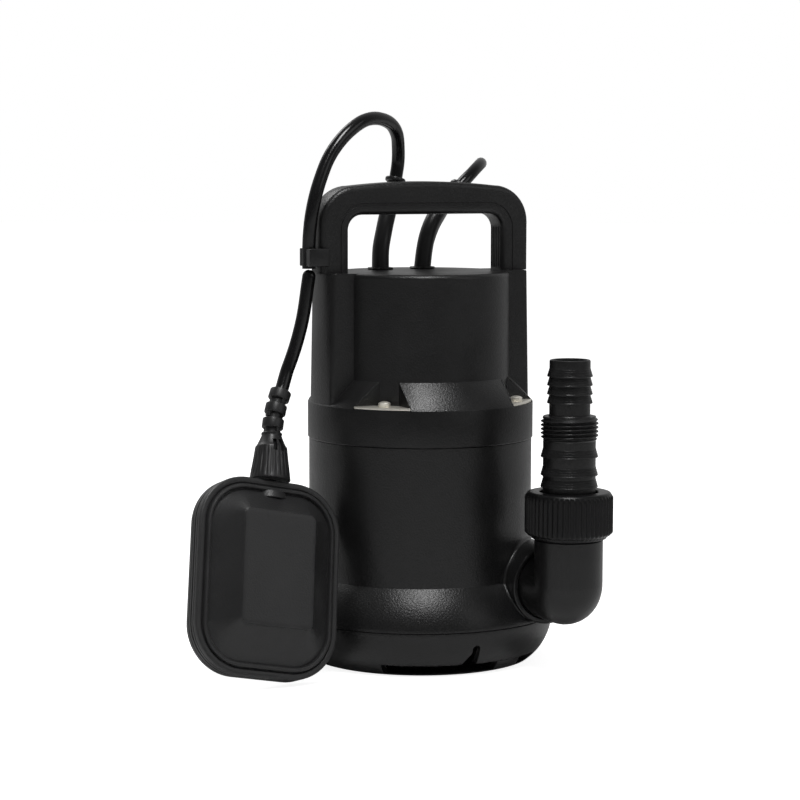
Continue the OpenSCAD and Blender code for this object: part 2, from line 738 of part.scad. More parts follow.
module discharge_elbow() color([0.085, 0.085, 0.09]) {
    groove_y = elbow_end_y + 4;
    difference() {
        union() {
            translate([port_x, -elbow_y, port_z + elbow_bend_r])
                cylinder(r = elbow_r, h = elbow_collar_z - port_z);
            elbow_bend(elbow_r);
            along_port() translate([0, 0, elbow_end_y])
                cylinder(r = elbow_r, h = elbow_y - elbow_bend_r - elbow_end_y);
            translate([port_x, -elbow_y, elbow_collar_z]) cylinder(r = elbow_r + 0.6, h = 1.2);
            translate([port_x, -elbow_y, elbow_collar_z])
                cylinder(r = union_root_r - 1.2, h = elbow_top_z - elbow_collar_z);
            // Thread crests under the nut
            for (z = [nut_z + 2.5:pipe_pitch:elbow_top_z - 2]) translate([port_x, -elbow_y, z])
                turned_part([[10, 0], [union_root_r - 1.3, 0], [union_root_r, pipe_pitch * 0.3],
                    [union_root_r, pipe_pitch * 0.5], [union_root_r - 1.3, pipe_pitch * 0.8],
                    [10, pipe_pitch * 0.8]]);
        }
        translate([port_x, -elbow_y, port_z]) cylinder(r = water_r, h = elbow_top_z);
        translate([port_x, -elbow_y, port_z]) sphere(r = water_r);
        along_port() translate([0, 0, elbow_end_y - cut])
            cylinder(r = water_r, h = elbow_y - elbow_end_y + cut);
        along_port() translate([0, 0, groove_y]) ring(elbow_r + cut, elbow_r - 1.7, 2.6);
    }
}

module elbow_seal_ring() color([0.05, 0.05, 0.05]) {
    along_port() translate([0, 0, elbow_end_y + 4 + 1.3])
        rotate_extrude() translate([elbow_r - 0.75, 0]) circle(r = 0.85);
}

module adapter_gasket() color([0.05, 0.05, 0.05]) {
    translate([port_x, -elbow_y, elbow_top_z + seat_gap])
        ring(union_root_r - 1.6, water_r, adapter_flange_z - elbow_top_z - 2 * seat_gap);
}

// One barb: a sharp lower edge that tapers upwards into the tail
function barb(r, z, h) = [[r, z], [r + barb_out, z + 0.1], [r + barb_out, z + 0.7], [r, z + h]];

module hose_adapter() color([0.085, 0.085, 0.09]) {
    low_barbs = [111.2, 118.1, 128.6];
    high_barbs = 4;
    crest = (pipe_thread_r - pipe_root_r);
    translate([port_x, -elbow_y, 0]) difference() {
        union() {
            turned_part(concat([[0, adapter_flange_z], [adapter_flange_r, adapter_flange_z],
                [adapter_flange_r, adapter_flange_z + adapter_flange_t],
                [tail_low_r, adapter_flange_z + adapter_flange_t]],
                [for (z = low_barbs) each barb(tail_low_r, z, 5)],
                [[tail_low_r, pipe_thread_z], [pipe_root_r, pipe_thread_z],
                [pipe_root_r, pipe_top_z], [tail_high_r, pipe_top_z]],
                [for (k = [0:high_barbs - 1])
                    each barb(tail_high_r, pipe_top_z + 7.4 + k * barb_pitch, barb_pitch - 0.4)],
                [[tail_high_r, adapter_top_z - 0.8], [tail_high_r - 0.6, adapter_top_z],
                [0, adapter_top_z]]));
            // Crests of the male pipe thread
            for (z = [pipe_thread_z:pipe_pitch:pipe_top_z - pipe_pitch]) translate([0, 0, z])
                turned_part([[pipe_root_r - 1, 0], [pipe_root_r, 0],
                    [pipe_root_r + crest, pipe_pitch * 0.42],
                    [pipe_root_r + crest, pipe_pitch * 0.58], [pipe_root_r, pipe_pitch],
                    [pipe_root_r - 1, pipe_pitch]]);
        }
        translate([0, 0, adapter_flange_z - cut])
            cylinder(r = adapter_bore_r, h = adapter_top_z - adapter_flange_z + 2 * cut);
    }
}

module union_nut() color([0.07, 0.07, 0.075]) {
    rib_h = 0.75;
    edge = 2.2;
    foot_r = 22;
    core_r = nut_r - rib_h;
    translate([port_x, -elbow_y, 0]) difference() {
        union() {
            turned_part([[0, nut_z], [foot_r - 0.3, nut_z], [foot_r, nut_z + 0.8],
                [foot_r + 0.4, nut_z + 1.6], [core_r - 1.2, nut_z + 2], [core_r, nut_z + 3.4],
                [core_r, nut_top_z - edge], [core_r - 0.7, nut_top_z - 0.6],
                [core_r - edge, nut_top_z], [0, nut_top_z]]);
            around(nut_ribs) translate([0, 0, nut_z + 3]) linear_extrude(nut_h - edge - 3.4)
                polygon([[core_r - 1, -1], [nut_r, -0.45], [nut_r, 0.45], [core_r - 1, 1]]);
        }
        // Threaded chamber, then the clear bore that passes over the adapter's tail
        translate([0, 0, nut_z - cut])
            cylinder(r = union_root_r + move_gap, h = nut_h + cut - nut_lip_t);
        translate([0, 0, nut_z - cut])
            cylinder(r = tail_low_r + barb_out + 0.6, h = nut_h + 2 * cut);
    }
}

// ---------- top cover and handle ----------

module corner_region(wall, z, h) {
    for (a = [0:90:270]) rotate([0, 0, a]) translate([wall, wall, z]) cube([40, 40, h]);
}

module pillar() {
    intersection() {
        turned_part([[pillar_in_r, collar_roof_z], [pillar_foot_r, collar_roof_z],
            [pillar_foot_r, shoulder_z], [pillar_top_r, head_top_z], [pillar_in_r, head_top_z]]);
        translate([pillar_in_r, -pillar_half_w, collar_roof_z])
            cube([40, 2 * pillar_half_w, head_top_z]);
    }
}

module top_cover() color([0.08, 0.08, 0.085]) {
    roof_t = 3;
    step_z = upper_bracket_z + upper_bracket_t + slip_gap;
    difference() {
        union() {
            difference() {
                turned_part([[0, collar_z + seat_gap], [collar_r, collar_z + seat_gap],
                    [collar_r, shoulder_z], [head_r, head_z], [head_r, head_top_z - head_round_r],
                    [head_r - head_round_r * 0.3, head_top_z - head_round_r * 0.3],
                    [head_r - head_round_r, head_top_z], [0, head_top_z]]);
                difference() {
                    corner_region(recess_wall, shoulder_z, head_z);
                    cylinder(r = head_r, h = head_top_z);
                }
            }
            pillar();
            mirror([1, 0, 0]) pillar();
            // Spigot inside the housing, cut away at the screw bosses
            difference() {
                translate([0, 0, collar_z - 6])
                    ring(body_in_r - slip_gap, collar_in_r, 6 + seat_gap + cut);
                around(4, 45) translate([cover_screw_circle_r, 0, 0])
                    cylinder(r = boss_r + slip_gap, h = collar_z + seat_gap);
            }
        }
        // Room for the motor can, then for the upper bracket, then the inside of the head
        translate([0, 0, collar_z - 10]) cylinder(r = collar_in_r, h = step_z - collar_z + 10);
        translate([0, 0, step_z - cut])
            cylinder(r = cover_in_r, h = head_top_z - roof_t - step_z + cut);
        // Pockets for the handle's tongues and holes for their screws
        for (s = [-1, 1]) {
            translate([s * tongue_x - tongue_w / 2 - slip_gap, -tongue_d / 2 - slip_gap,
                head_top_z - tongue_l - slip_gap])
                cube([tongue_w + 2 * slip_gap, tongue_d + 2 * slip_gap, tongue_l + cut]);
            translate([s * tongue_x, pillar_half_w + cut, handle_screw_z]) rotate([90, 0, 0])
                cylinder(r = handle_screw_r + slip_gap, h = 2 * pillar_half_w);
        }
        for (s = [-1, 1]) translate([s * outlet_x, outlet_y, head_top_z - roof_t - cut])
            cylinder(r = relief_foot_r + 1.5, h = roof_t + 2 * cut);
        around(4, 45) translate([cover_screw_circle_r, 0, collar_z - cut])
            cylinder(r = cover_screw_r + slip_gap, h = shoulder_z - collar_z + 2 * cut);
    }
}

module cover_gasket() color([0.05, 0.05, 0.05]) {
    translate([0, 0, collar_z - 0.85]) ring(gasket_r + 0.7, gasket_r - 0.7, 0.85);
}

module clamp_plates() color([0.8, 0.8, 0.78]) {
    intersection() {
        corner_region(recess_wall + seat_gap, shoulder_z, clamp_plate_t);
        difference() {
            translate([0, 0, shoulder_z]) ring(collar_r - 0.7, head_r + seat_gap, clamp_plate_t);
            around(4, 45) translate([cover_screw_circle_r, 0, 0])
                cylinder(r = cover_screw_r + slip_gap, h = head_z);
        }
    }
}

module cover_screws() color([0.8, 0.81, 0.82]) {
    around(4, 45) translate([cover_screw_circle_r, 0, shoulder_z + clamp_plate_t])
        pan_screw(cover_screw_r, shoulder_z + clamp_plate_t - cover_screw_bottom_z, 3.6, 3);
}

// The handle's outline, drawn in by inset on its outside and in the hand opening
module handle_outline(inset) {
    half = handle_half_w - inset;
    r_out = handle_corner_r - inset;
    open = window_half_w + inset;
    r_in = window_corner_r + inset;
    top = handle_top_z - inset;
    drop = handle_crown_r - sqrt(pow(handle_crown_r, 2) - pow(half - r_out, 2));
    open_top = window_top_z + inset;
    difference() {
        intersection() {
            union() {
                translate([-half, handle_foot_z]) square([2 * half, top - drop - r_out - handle_foot_z]);
                translate([-half + r_out, handle_foot_z]) square([2 * (half - r_out), top - handle_foot_z]);
                for (s = [-1, 1]) translate([s * (half - r_out), top - drop - r_out]) circle(r = r_out);
            }
            translate([0, top - handle_crown_r]) circle(r = handle_crown_r, $fn = 720);
        }
        translate([-open, handle_foot_z - cut]) square([2 * open, open_top - r_in - handle_foot_z + cut]);
        translate([-open + r_in, open_top - r_in - cut]) square([2 * (open - r_in), r_in + cut]);
        for (s = [-1, 1]) translate([s * (open - r_in), open_top - r_in]) circle(r = r_in);
    }
}

module handle() color([0.075, 0.075, 0.08]) {
    difference() {
        union() {
            rotate([90, 0, 0]) translate([0, 0, -handle_depth / 2 + handle_step])
                linear_extrude(handle_depth - 2 * handle_step) handle_outline(0);
            rotate([90, 0, 0]) translate([0, 0, -handle_depth / 2])
                linear_extrude(handle_depth) handle_outline(handle_step);
            for (s = [-1, 1]) translate([s * tongue_x - tongue_w / 2, -tongue_d / 2,
                handle_foot_z - tongue_l])
                cube([tongue_w, tongue_d, tongue_l + cut]);
        }
        for (s = [-1, 1]) translate([s * tongue_x, 0, handle_screw_z]) rotate([90, 0, 0])
            cylinder(r = handle_screw_r + seat_gap, h = 2 * handle_depth, center = true);
    }
}

module handle_screws() color([0.8, 0.81, 0.82]) {
    for (s = [-1, 1]) translate([s * tongue_x, pillar_half_w, handle_screw_z])
        rotate([-90, 0, 0]) pan_screw(handle_screw_r, pillar_half_w + 8, screw_head_r, 2.4);
}

module cable_clip() color([0.08, 0.08, 0.085]) {
    hole_r = float_cable_d / 2 + 0.15;
    leg_x = -handle_half_w - 0.02;
    front_y = -handle_depth / 2 - 0.02;
    plate_t = 1.6;
    difference() {
        union() {
            translate([clip_x - clip_reach, front_y, clip_z])
                cube([leg_x - clip_x + clip_reach, clip_y + hole_r + clip_wall - front_y, clip_h]);
            translate([clip_x - clip_reach, front_y - plate_t, clip_z])
                cube([leg_x - clip_x + clip_reach + 4, plate_t, clip_h]);
        }
        translate([clip_x, clip_y, clip_z - cut]) cylinder(r = hole_r, h = clip_h + 2 * cut);
        translate([clip_x - 20, clip_y - hole_r * 0.75, clip_z - cut])
            cube([20, hole_r * 1.5, clip_h + 2 * cut]);
    }
}

// ---------- motor ----------

module motor_can() color([0.75, 0.76, 0.78]) {
    difference() {
        translate([0, 0, can_z]) cylinder(r = can_r, h = can_top_z - can_z);
        translate([0, 0, can_z + can_wall]) cylinder(r = can_r - can_wall, h = can_top_z);
        translate([0, 0, can_z - cut]) cylinder(r = seal_hole_r, h = 2 * cut + can_wall);
    }
}

module bearing_pocket(z) {
    translate([0, 0, z]) cylinder(r = bearing_r + seat_gap, h = bearing_w + 2 * cut);
}

module lower_bearing_bracket() color([0.62, 0.63, 0.65]) {
    difference() {
        union() {
            translate([0, 0, bracket_z + seat_gap]) cylinder(r = bracket_r, h = 3);
            translate([0, 0, bracket_z + seat_gap])
                cylinder(r = bearing_r + 4, h = lower_bearing_z + bearing_w - bracket_z);
            around(6) translate([0, -1.5, bracket_z + seat_gap]) cube([bracket_r - 4, 3, 7]);
        }
        bearing_pocket(lower_bearing_z);
        translate([0, 0, bracket_z - cut]) cylinder(r = seal_hole_r, h = 20);
    }
}

module upper_bearing_bracket() color([0.62, 0.63, 0.65]) {
    difference() {
        union() {
            translate([0, 0, upper_bracket_z + seat_gap])
                cylinder(r = collar_in_r - slip_gap, h = upper_bracket_t - seat_gap);
            translate([0, 0, upper_bearing_z - 0.5])
                cylinder(r = bearing_r + 4, h = upper_bracket_z - upper_bearing_z + 1);
            translate([0, 0, upper_bracket_z + cut]) cylinder(r = bearing_r + 4, h = 6);
        }
        translate([0, 0, upper_bearing_z - 3])
            cylinder(r = bearing_r + seat_gap, h = bearing_w + 3 + seat_gap);
        around(4, 45) translate([bearing_r + 20, 0, upper_bracket_z - cut]) cylinder(r = 3, h = 9);
    }
}

module bearing_race(z) {
    groove_r = ball_r + race_gap;
    translate([0, 0, z]) difference() {
        ring(bearing_r, ball_pitch_r + ball_r * 0.62, bearing_w);
        translate([0, 0, bearing_w / 2]) rotate_extrude() translate([ball_pitch_r, 0])
            circle(r = groove_r);
    }
}

module bearing_inner(z) {
    groove_r = ball_r + race_gap;
    translate([0, 0, z]) difference() {
        ring(ball_pitch_r - ball_r * 0.62, shaft_r + 0.01, bearing_w);
        translate([0, 0, bearing_w / 2]) rotate_extrude() translate([ball_pitch_r, 0])
            circle(r = groove_r);
    }
}

module lower_bearing_race() color([0.7, 0.7, 0.72]) bearing_race(lower_bearing_z + seat_gap);
module upper_bearing_race() color([0.7, 0.7, 0.72]) bearing_race(upper_bearing_z);
module lower_bearing_inner() color([0.7, 0.7, 0.72]) bearing_inner(lower_bearing_z + seat_gap);
module upper_bearing_inner() color([0.7, 0.7, 0.72]) bearing_inner(upper_bearing_z);

module bearing_balls() color([0.85, 0.85, 0.86]) {
    for (z = [lower_bearing_z + seat_gap, upper_bearing_z]) around(8)
        translate([ball_pitch_r, 0, z + bearing_w / 2]) sphere(r = ball_r, $fn = 48);
}

module stator_core() color([0.42, 0.43, 0.45]) {
    difference() {
        translate([0, 0, stack_z]) ring(bracket_r, stator_bore_r, stack_l);
        around(slot_count) {
            translate([slot_in_r, -slot_w / 2, stack_z - cut]) cube([slot_l, slot_w, stack_l + 2 * cut]);
            translate([stator_bore_r - cut, -slot_mouth_w / 2, stack_z - cut])
                cube([4, slot_mouth_w, stack_l + 2 * cut]);
        }
    }
}

module stator_windings() color([0.72, 0.42, 0.2]) {
    coil_w = slot_w - 0.6;
    coil_l = slot_l - 0.6;
    end_h = 6;
    for (z = [stack_z - end_h - 0.4, stack_top_z + 0.4]) translate([0, 0, z])
        ring(slot_in_r + slot_l, slot_in_r + 0.3, end_h);
    around(slot_count) translate([slot_in_r + 0.3, -coil_w / 2, stack_z - 1])
        cube([coil_l, coil_w, stack_l + 2]);
}

module seal_seat() color([0.86, 0.84, 0.8]) {
    translate([0, 0, bulkhead_z + seat_gap])
        ring(seal_hole_r - seat_gap, shaft_r + move_gap, bulkhead_t - 2 * seat_gap);
}

module seal_plate() color([0.62, 0.63, 0.65]) {
    translate([0, 0, bulkhead_top_z + seat_gap]) difference() {
        ring(can_r, shaft_r + move_gap, seal_plate_t - 2 * seat_gap);
        around(6) translate([can_r - 9, 0, -cut]) cylinder(r = 2.2, h = seal_plate_t + 2 * cut);
    }
}

module shaft() color([0.7, 0.71, 0.73]) {
    translate([0, 0, shaft_bottom_z]) cylinder(r = shaft_end_r, h = vane_z - shaft_bottom_z + cut);
    translate([0, 0, vane_z]) cylinder(r = shaft_r, h = upper_bearing_z + bearing_w - vane_z - 0.5);
}

module rotor_core() color([0.5, 0.51, 0.53]) {
    translate([0, 0, stack_z]) difference() {
        ring(rotor_r, shaft_r + 0.01, stack_l);
        around(bar_count) translate([bar_circle_r, 0, -cut])
            cylinder(r = bar_r + seat_gap, h = stack_l + 2 * cut);
    }
}

module rotor_cage() color([0.75, 0.76, 0.78]) {
    for (z = [stack_z - cage_ring_h - seat_gap, stack_top_z + seat_gap]) translate([0, 0, z])
        ring(bar_circle_r + bar_r + 0.6, bar_circle_r - bar_r - 2, cage_ring_h);
    around(bar_count) translate([bar_circle_r, 0, stack_z - 1]) cylinder(r = bar_r, h = stack_l + 2);
}

module impeller() color([0.2, 0.21, 0.22]) {
    vane_curve_r = impeller_r * 0.62;
    hub_r = shaft_r + 4;
    translate([0, 0, vane_z]) difference() {
        union() {
            translate([0, 0, vane_h]) cylinder(r = impeller_r, h = 3);
            cylinder(r = hub_r, h = vane_h + 3);
            intersection() {
                around(vane_count) translate([vane_curve_r, 0, 0])
                    difference() {
                        intersection() {
                            ring(vane_curve_r, vane_curve_r - vane_t, vane_h + cut);
                            translate([-100, 0, 0]) cube([200, 100, vane_h + cut]);
                        }
                    }
                cylinder(r = impeller_r, h = vane_h + cut);
            }
        }
        translate([0, 0, -cut]) cylinder(r = shaft_r + 0.01, h = vane_h + 3 + 2 * cut);
    }
}

module impeller_nut() color([0.72, 0.73, 0.74]) {
    translate([0, 0, vane_z - 6.5]) difference() {
        union() {
            cylinder(r = 7, h = 5, $fn = 6);
            translate([0, 0, 5]) cylinder(r = 8, h = 1.45);
        }
        translate([0, 0, -cut]) cylinder(r = shaft_end_r + 0.01, h = 9);
    }
}

module seal_head() color([0.3, 0.3, 0.32]) {
    z = impeller_top_z + seat_gap;
    translate([0, 0, z]) ring(seal_hole_r - 0.5, shaft_r + 0.01, bulkhead_z - z - 2);
    translate([0, 0, bulkhead_z - 2.1]) ring(seal_hole_r - 2, shaft_r + 0.01, 2);
}

module capacitor() color([0.78, 0.79, 0.8]) {
    translate([18, 0, upper_bracket_z + upper_bracket_t + 8]) {
        cylinder(r = capacitor_r, h = capacitor_l);
        for (s = [-1, 1]) translate([s * 5, 0, capacitor_l]) translate([-0.4, -3, -cut])
            cube([0.8, 6, 8]);
    }
}

module capacitor_clamp() color([0.6, 0.61, 0.63]) {
    z = upper_bracket_z + upper_bracket_t;
    translate([18, 0, z + 18]) ring(capacitor_r + 1.4, capacitor_r + seat_gap, 10);
    translate([18 - 6, capacitor_r + 0.6, z + seat_gap]) cube([12, 1.6, 28]);
    translate([18 - 6, capacitor_r + 0.6, z + seat_gap]) cube([12, 10, 1.6]);
}

module terminal_block() color([0.85, 0.83, 0.76]) {
    z = upper_bracket_z + upper_bracket_t + seat_gap;
    translate([-46, -12, z]) difference() {
        cube([23, 24, 16]);
        for (k = [0:3]) translate([12, lead_pitch * (k + 0.5), 8])
            cylinder(r = lead_r + 0.8, h = 20);
    }
}

module motor_leads() color([0.6, 0.12, 0.1]) {
    z = upper_bracket_z + upper_bracket_t + 9;
    for (k = [0:3]) translate([-34, lead_pitch * (k - 1.5), z])
        cylinder(r = lead_r, h = head_top_z - 10 - z);
}

// ---------- cable outlets ----------

module cable_glands() color([0.09, 0.09, 0.095]) {
    for (s = [-1, 1]) translate([s * outlet_x, outlet_y, head_top_z - 5]) difference() {
        union() {
            cylinder(r = relief_foot_r + 1.4, h = 5 + cut);
            translate([0, 0, 5 + 0.02]) cylinder(r = relief_foot_r + 2.4, h = 1.3);
            translate([0, 0, -3]) cylinder(r = relief_foot_r + 4, h = 4.9 - seat_gap, $fn = 6);
        }
        translate([0, 0, -3 - cut]) cylinder(r = relief_foot_r + slip_gap, h = 12);
    }
}

// A rubber sleeve that tapers along its route and ends in a rim, where the cable goes on
module strain_relief(p, after) {
    n = len(p);
    t = headings(p, undef, after);
    foot = [p[0][0], p[0][1], head_top_z - 4];
    rim = 2.6;
    path = concat([foot], [for (i = [0:n - 2]) p[i]],
        [p[n - 1] - t[n - 1] * (rim + 0.2), p[n - 1] - t[n - 1] * rim, p[n - 1]]);
    radii = concat([relief_foot_r],
        [for (i = [0:n - 2]) relief_foot_r + (relief_neck_r - relief_foot_r) * i / (n - 1)],
        [relief_neck_r, relief_rim_r, relief_rim_r]);
    tube(path, radii, 12, undef, p[n - 1] + t[n - 1]);
}

module power_strain_relief() color([0.06, 0.06, 0.065])
    strain_relief(relief_route_power, power_route[1]);

module float_strain_relief() color([0.06, 0.06, 0.065])
    strain_relief(relief_route_float, float_route_upper[1]);

module float_cable_upper() color([0.05, 0.05, 0.055]) {
    tube(float_route_upper, same(float_cable_d / 2, len(float_route_upper)),
        before = relief_route_float[len(relief_route_float) - 2]);
}

module power_cord() color([0.05, 0.05, 0.055]) {
    tube(power_path, same(power_cord_d / 2, len(power_path)),
        before = relief_route_power[len(relief_route_power) - 2]);
}

module power_coil() color([0.05, 0.05, 0.055]) {
    tube(coil_path, same(power_cord_d / 2, len(coil_path)), coil_sides, after = tail_route[0]);
}

module power_cord_tail() color([0.05, 0.05, 0.055]) {
    tube(tail_path, same(power_cord_d / 2, len(tail_path)),
        before = coil_path[len(coil_path) - 2]);
}

module cord_tie() color([0.12, 0.12, 0.13]) {
    lift = 0.4;
    r_lo = coil_outer_r - coil_pitch * layer_loops - power_cord_d / 2 - lift;
    r_hi = coil_outer_r + power_cord_d / 2 + lift;
    h = coil_floor + power_cord_d + coil_pitch * (coil_layers - 1) + lift;
    translate([coil_pos[0], coil_pos[1], 0]) rotate([0, 0, tie_a]) translate([r_lo, -tie_w / 2, 0])
        difference() {
            translate([-tie_t, 0, 0]) cube([r_hi - r_lo + 2 * tie_t, tie_w, h + tie_t]);
            translate([0, -cut, tie_t]) cube([r_hi - r_lo, tie_w + 2 * cut, h - tie_t]);
        }
}

// The plug lies with its blades pointing away from the coil
module at_plug() {
    translate(plug_pos) rotate([0, 0, plug_a]) rotate([0, 90, 0]) children();
}

module power_plug() color([0.06, 0.06, 0.065]) {
    at_plug() {
        cylinder(r1 = power_cord_d / 2 + 1, r2 = 7, h = plug_relief_l + cut);
        translate([0, 0, plug_relief_l]) intersection() {
            cylinder(r = plug_half + 1.4, h = plug_body_l);
            translate([-plug_half, -plug_half, 0]) cube([2 * plug_half, 2 * plug_half, plug_body_l]);
        }
    }
}

module plug_blades() color([0.78, 0.68, 0.4]) {
    at_plug() translate([0, 0, plug_relief_l + plug_body_l + 0.02]) {
        for (s = [-1, 1]) translate([-0.2, s * 6.35 - 0.75, 0]) cube([6.3, 1.5, 17.5]);
        translate([-7.5, 0, 0]) cylinder(r = 2.4, h = 20);
    }
}

// ---------- float switch ----------

module at_float() {
    translate(float_pos) rotate([0, 0, float_turn]) rotate([-float_lean, 0, 0])
        rotate([0, float_roll, 0]) children();
}

// Rounded rectangle in the float's own plane, thick along Y from y0 to y1
module float_plate(w, h, r, y0, y1) {
    rotate([90, 0, 0]) translate([0, 0, -y1]) linear_extrude(y1 - y0) {
        square([w - 2 * r, h], center = true);
        square([w, h - 2 * r], center = true);
        for (x = [-1, 1]) for (y = [-1, 1]) translate([x * (w / 2 - r), y * (h / 2 - r)])
            circle(r = r);
    }
}

function dish_w() = float_w - 2 * (rim_flat + ridge_w);
function dish_h() = float_h - 2 * (rim_flat + ridge_w);
function dish_r() = float_corner_r - rim_flat - ridge_w;

// The raised face with its four sloping sides, drawn in by inset
module raised_face(inset) {
    hull() {
        float_plate(dish_w() - 2 * inset, dish_h() - 2 * inset, dish_r() - inset,
            -float_rim_t + inset, -float_rim_t + inset + 1, $fn = 32);
        float_plate(face_w - 2 * inset, face_h - 2 * inset, 3, -float_face + inset,
            -float_face + inset + 1, $fn = 32);
    }
}

// Front half of the float: its middle plane is y = 0 and its face points along -Y
module float_shell() {
    difference() {
        union() {
            float_plate(float_w, float_h, float_corner_r, -float_rim_t, -seal_bead / 2);
            difference() {
                float_plate(float_w - 2 * rim_flat, float_h - 2 * rim_flat,
                    float_corner_r - rim_flat, -float_rim_t - ridge_h, -float_rim_t + 0.5);
                float_plate(dish_w(), dish_h(), dish_r(), -float_rim_t - ridge_h - cut, cut);
            }
            raised_face(0);
        }
        raised_face(float_wall);
        float_plate(dish_w() - 2 * float_wall, dish_h() - 2 * float_wall, dish_r() - float_wall,
            -float_rim_t + float_wall, cut);
    }
}

module float_front_shell() color([0.07, 0.07, 0.075]) {
    at_float() difference() {
        float_shell();
        boot_socket();
    }
}

module float_rear_shell() color([0.07, 0.07, 0.075]) {
    at_float() {
        difference() {
            rotate([0, 0, 180]) float_shell();
            boot_socket();
        }
        for (p = [[-16, weight_z + 5, weight_half_t], [16, weight_z + 5, weight_half_t],
            [0, switch_z + 12, switch_half_t], [0, tube_low + 8, tube_r]])
            translate([p[0], p[2] + seat_gap, p[1]]) rotate([-90, 0, 0])
                cylinder(r = post_r, h = float_face - float_wall - p[2] + 0.5);
    }
}

module boot_socket() {
    translate([0, 0, float_h / 2 - 7]) cylinder(r = neck_r + seat_gap, h = 20);
}

module float_gasket() color([0.12, 0.12, 0.12]) {
    at_float() difference() {
        float_plate(float_w - 1.6, float_h - 1.6, float_corner_r - 0.8,
            -seal_bead / 2 + 0.02, seal_bead / 2 - 0.02);
        float_plate(dish_w(), dish_h(), dish_r(), -cut, cut);
        boot_socket();
    }
}

module float_boot() color([0.06, 0.06, 0.065]) {
    foot = 6.5;
    at_float() translate([boot_x, 0, float_h / 2]) {
        turned_part([[0, 0.9], [bell_r, 0.9], [bell_r, 1.6], [bell_top_r + 0.2, bell_h - 0.6],
            [bell_top_r - 0.5, bell_h + 0.3], [neck_r, neck_h - 2], [neck_r + 0.2, neck_h - 0.6],
            [neck_r - 0.6, neck_h], [0, neck_h]]);
        translate([0, 0, neck_h]) ribbed_neck(ring_count);
    }
    at_float() translate([0, 0, float_h / 2 - foot]) cylinder(r = neck_r, h = foot + 3);
}

// Rings on a core, each turned on from the last
module ribbed_neck(count) {
    core_r = neck_r - 1.4;
    ring_z = ring_pitch - ring_h - 0.7;
    if (count > 0) rotate([0, boot_bend, 0]) {
        turned_part([[0, -0.7], [core_r - 0.4, -0.7], [core_r - 0.4, 0.6], [core_r, 0.9],
            [core_r, ring_z], [ring_r - 0.6, ring_z], [ring_r, ring_z + 0.8],
            [ring_r, ring_z + ring_h - 0.8], [ring_r - 0.6, ring_z + ring_h],
            [core_r, ring_z + ring_h], [core_r, ring_pitch], [0, ring_pitch]]);
        translate([0, 0, ring_pitch]) ribbed_neck(count - 1);
    }
}

module float_microswitch() color([0.1, 0.1, 0.11]) {
    plunger_z = ball_low + ball_travel + float_ball_r + 0.4;
    at_float() {
        translate([-10, -switch_half_t, switch_z]) cube([20, 2 * switch_half_t, 24]);
        translate([0, 0, plunger_z]) cylinder(r = 1.6, h = switch_z - plunger_z + cut);
    }
}

module float_ball_tube() color([0.75, 0.74, 0.7]) {
    at_float() translate([0, 0, tube_low]) difference() {
        cylinder(r = tube_r, h = tube_l);
        translate([0, 0, tube_floor]) cylinder(r = tube_r - tube_wall, h = tube_l);
    }
}

module float_counterweight() color([0.45, 0.45, 0.47]) {
    at_float() translate([-22, -weight_half_t, weight_z]) cube([44, 2 * weight_half_t, 10]);
}

module float_ball() color([0.8, 0.8, 0.82]) {
    at_float() translate([0, 0, ball_low]) sphere(r = float_ball_r);
}

// The lower run of cable starts in a rounded end at the swing's pivot
module float_cable_lower() color([0.05, 0.05, 0.055]) {
    r = float_cable_d / 2;
    up = unit(pivot - float_route_lower[0]);
    p = concat([boot_tip, boot_tip + 3 * boot_axis],
        [for (i = [len(float_route_lower) - 1:-1:0]) float_route_lower[i]],
        [pivot, pivot + up * r * 0.7, pivot + up * r * 0.96]);
    tube(p, concat(same(r, len(p) - 2), [r * 0.71, r * 0.25]));
}

strainer_base();
base_screws();
suction_plate();
suction_screws();
pump_housing();
discharge_elbow();
elbow_seal_ring();
adapter_gasket();
cover_gasket();
top_cover();
clamp_plates();
cover_screws();
handle();
handle_screws();
cable_clip();
motor_can();
lower_bearing_bracket();
upper_bearing_bracket();
lower_bearing_race();
upper_bearing_race();
stator_core();
stator_windings();
seal_seat();
seal_plate();
capacitor();
capacitor_clamp();
terminal_block();
motor_leads();
cable_glands();
power_strain_relief();
float_strain_relief();
float_cable_upper();
power_cord();
power_coil();
power_cord_tail();
cord_tie();
power_plug();
plug_blades();
shaft();
rotor_core();
rotor_cage();
impeller();
impeller_nut();
seal_head();
lower_bearing_inner();
upper_bearing_inner();
bearing_balls();
hose_adapter();
union_nut();
float_front_shell();
float_rear_shell();
float_gasket();
float_boot();
float_microswitch();
float_ball_tube();
float_counterweight();
float_cable_lower();
float_ball();
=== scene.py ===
import json
import math

import bpy
from mathutils import Matrix, Vector


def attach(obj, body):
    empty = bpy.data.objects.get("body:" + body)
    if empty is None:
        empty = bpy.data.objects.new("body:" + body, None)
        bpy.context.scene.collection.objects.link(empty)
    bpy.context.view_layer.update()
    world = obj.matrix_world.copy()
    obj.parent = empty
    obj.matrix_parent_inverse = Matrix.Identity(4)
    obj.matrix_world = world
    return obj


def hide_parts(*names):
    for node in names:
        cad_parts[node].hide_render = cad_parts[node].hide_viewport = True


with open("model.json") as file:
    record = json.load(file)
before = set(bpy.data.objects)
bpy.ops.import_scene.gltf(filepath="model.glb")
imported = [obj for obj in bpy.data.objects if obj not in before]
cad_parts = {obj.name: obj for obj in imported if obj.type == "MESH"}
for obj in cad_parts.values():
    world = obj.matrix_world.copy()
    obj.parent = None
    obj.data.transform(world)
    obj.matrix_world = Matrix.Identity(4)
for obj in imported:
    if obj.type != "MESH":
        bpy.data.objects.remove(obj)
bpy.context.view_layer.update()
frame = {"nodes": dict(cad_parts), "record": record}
parts = frame["nodes"]

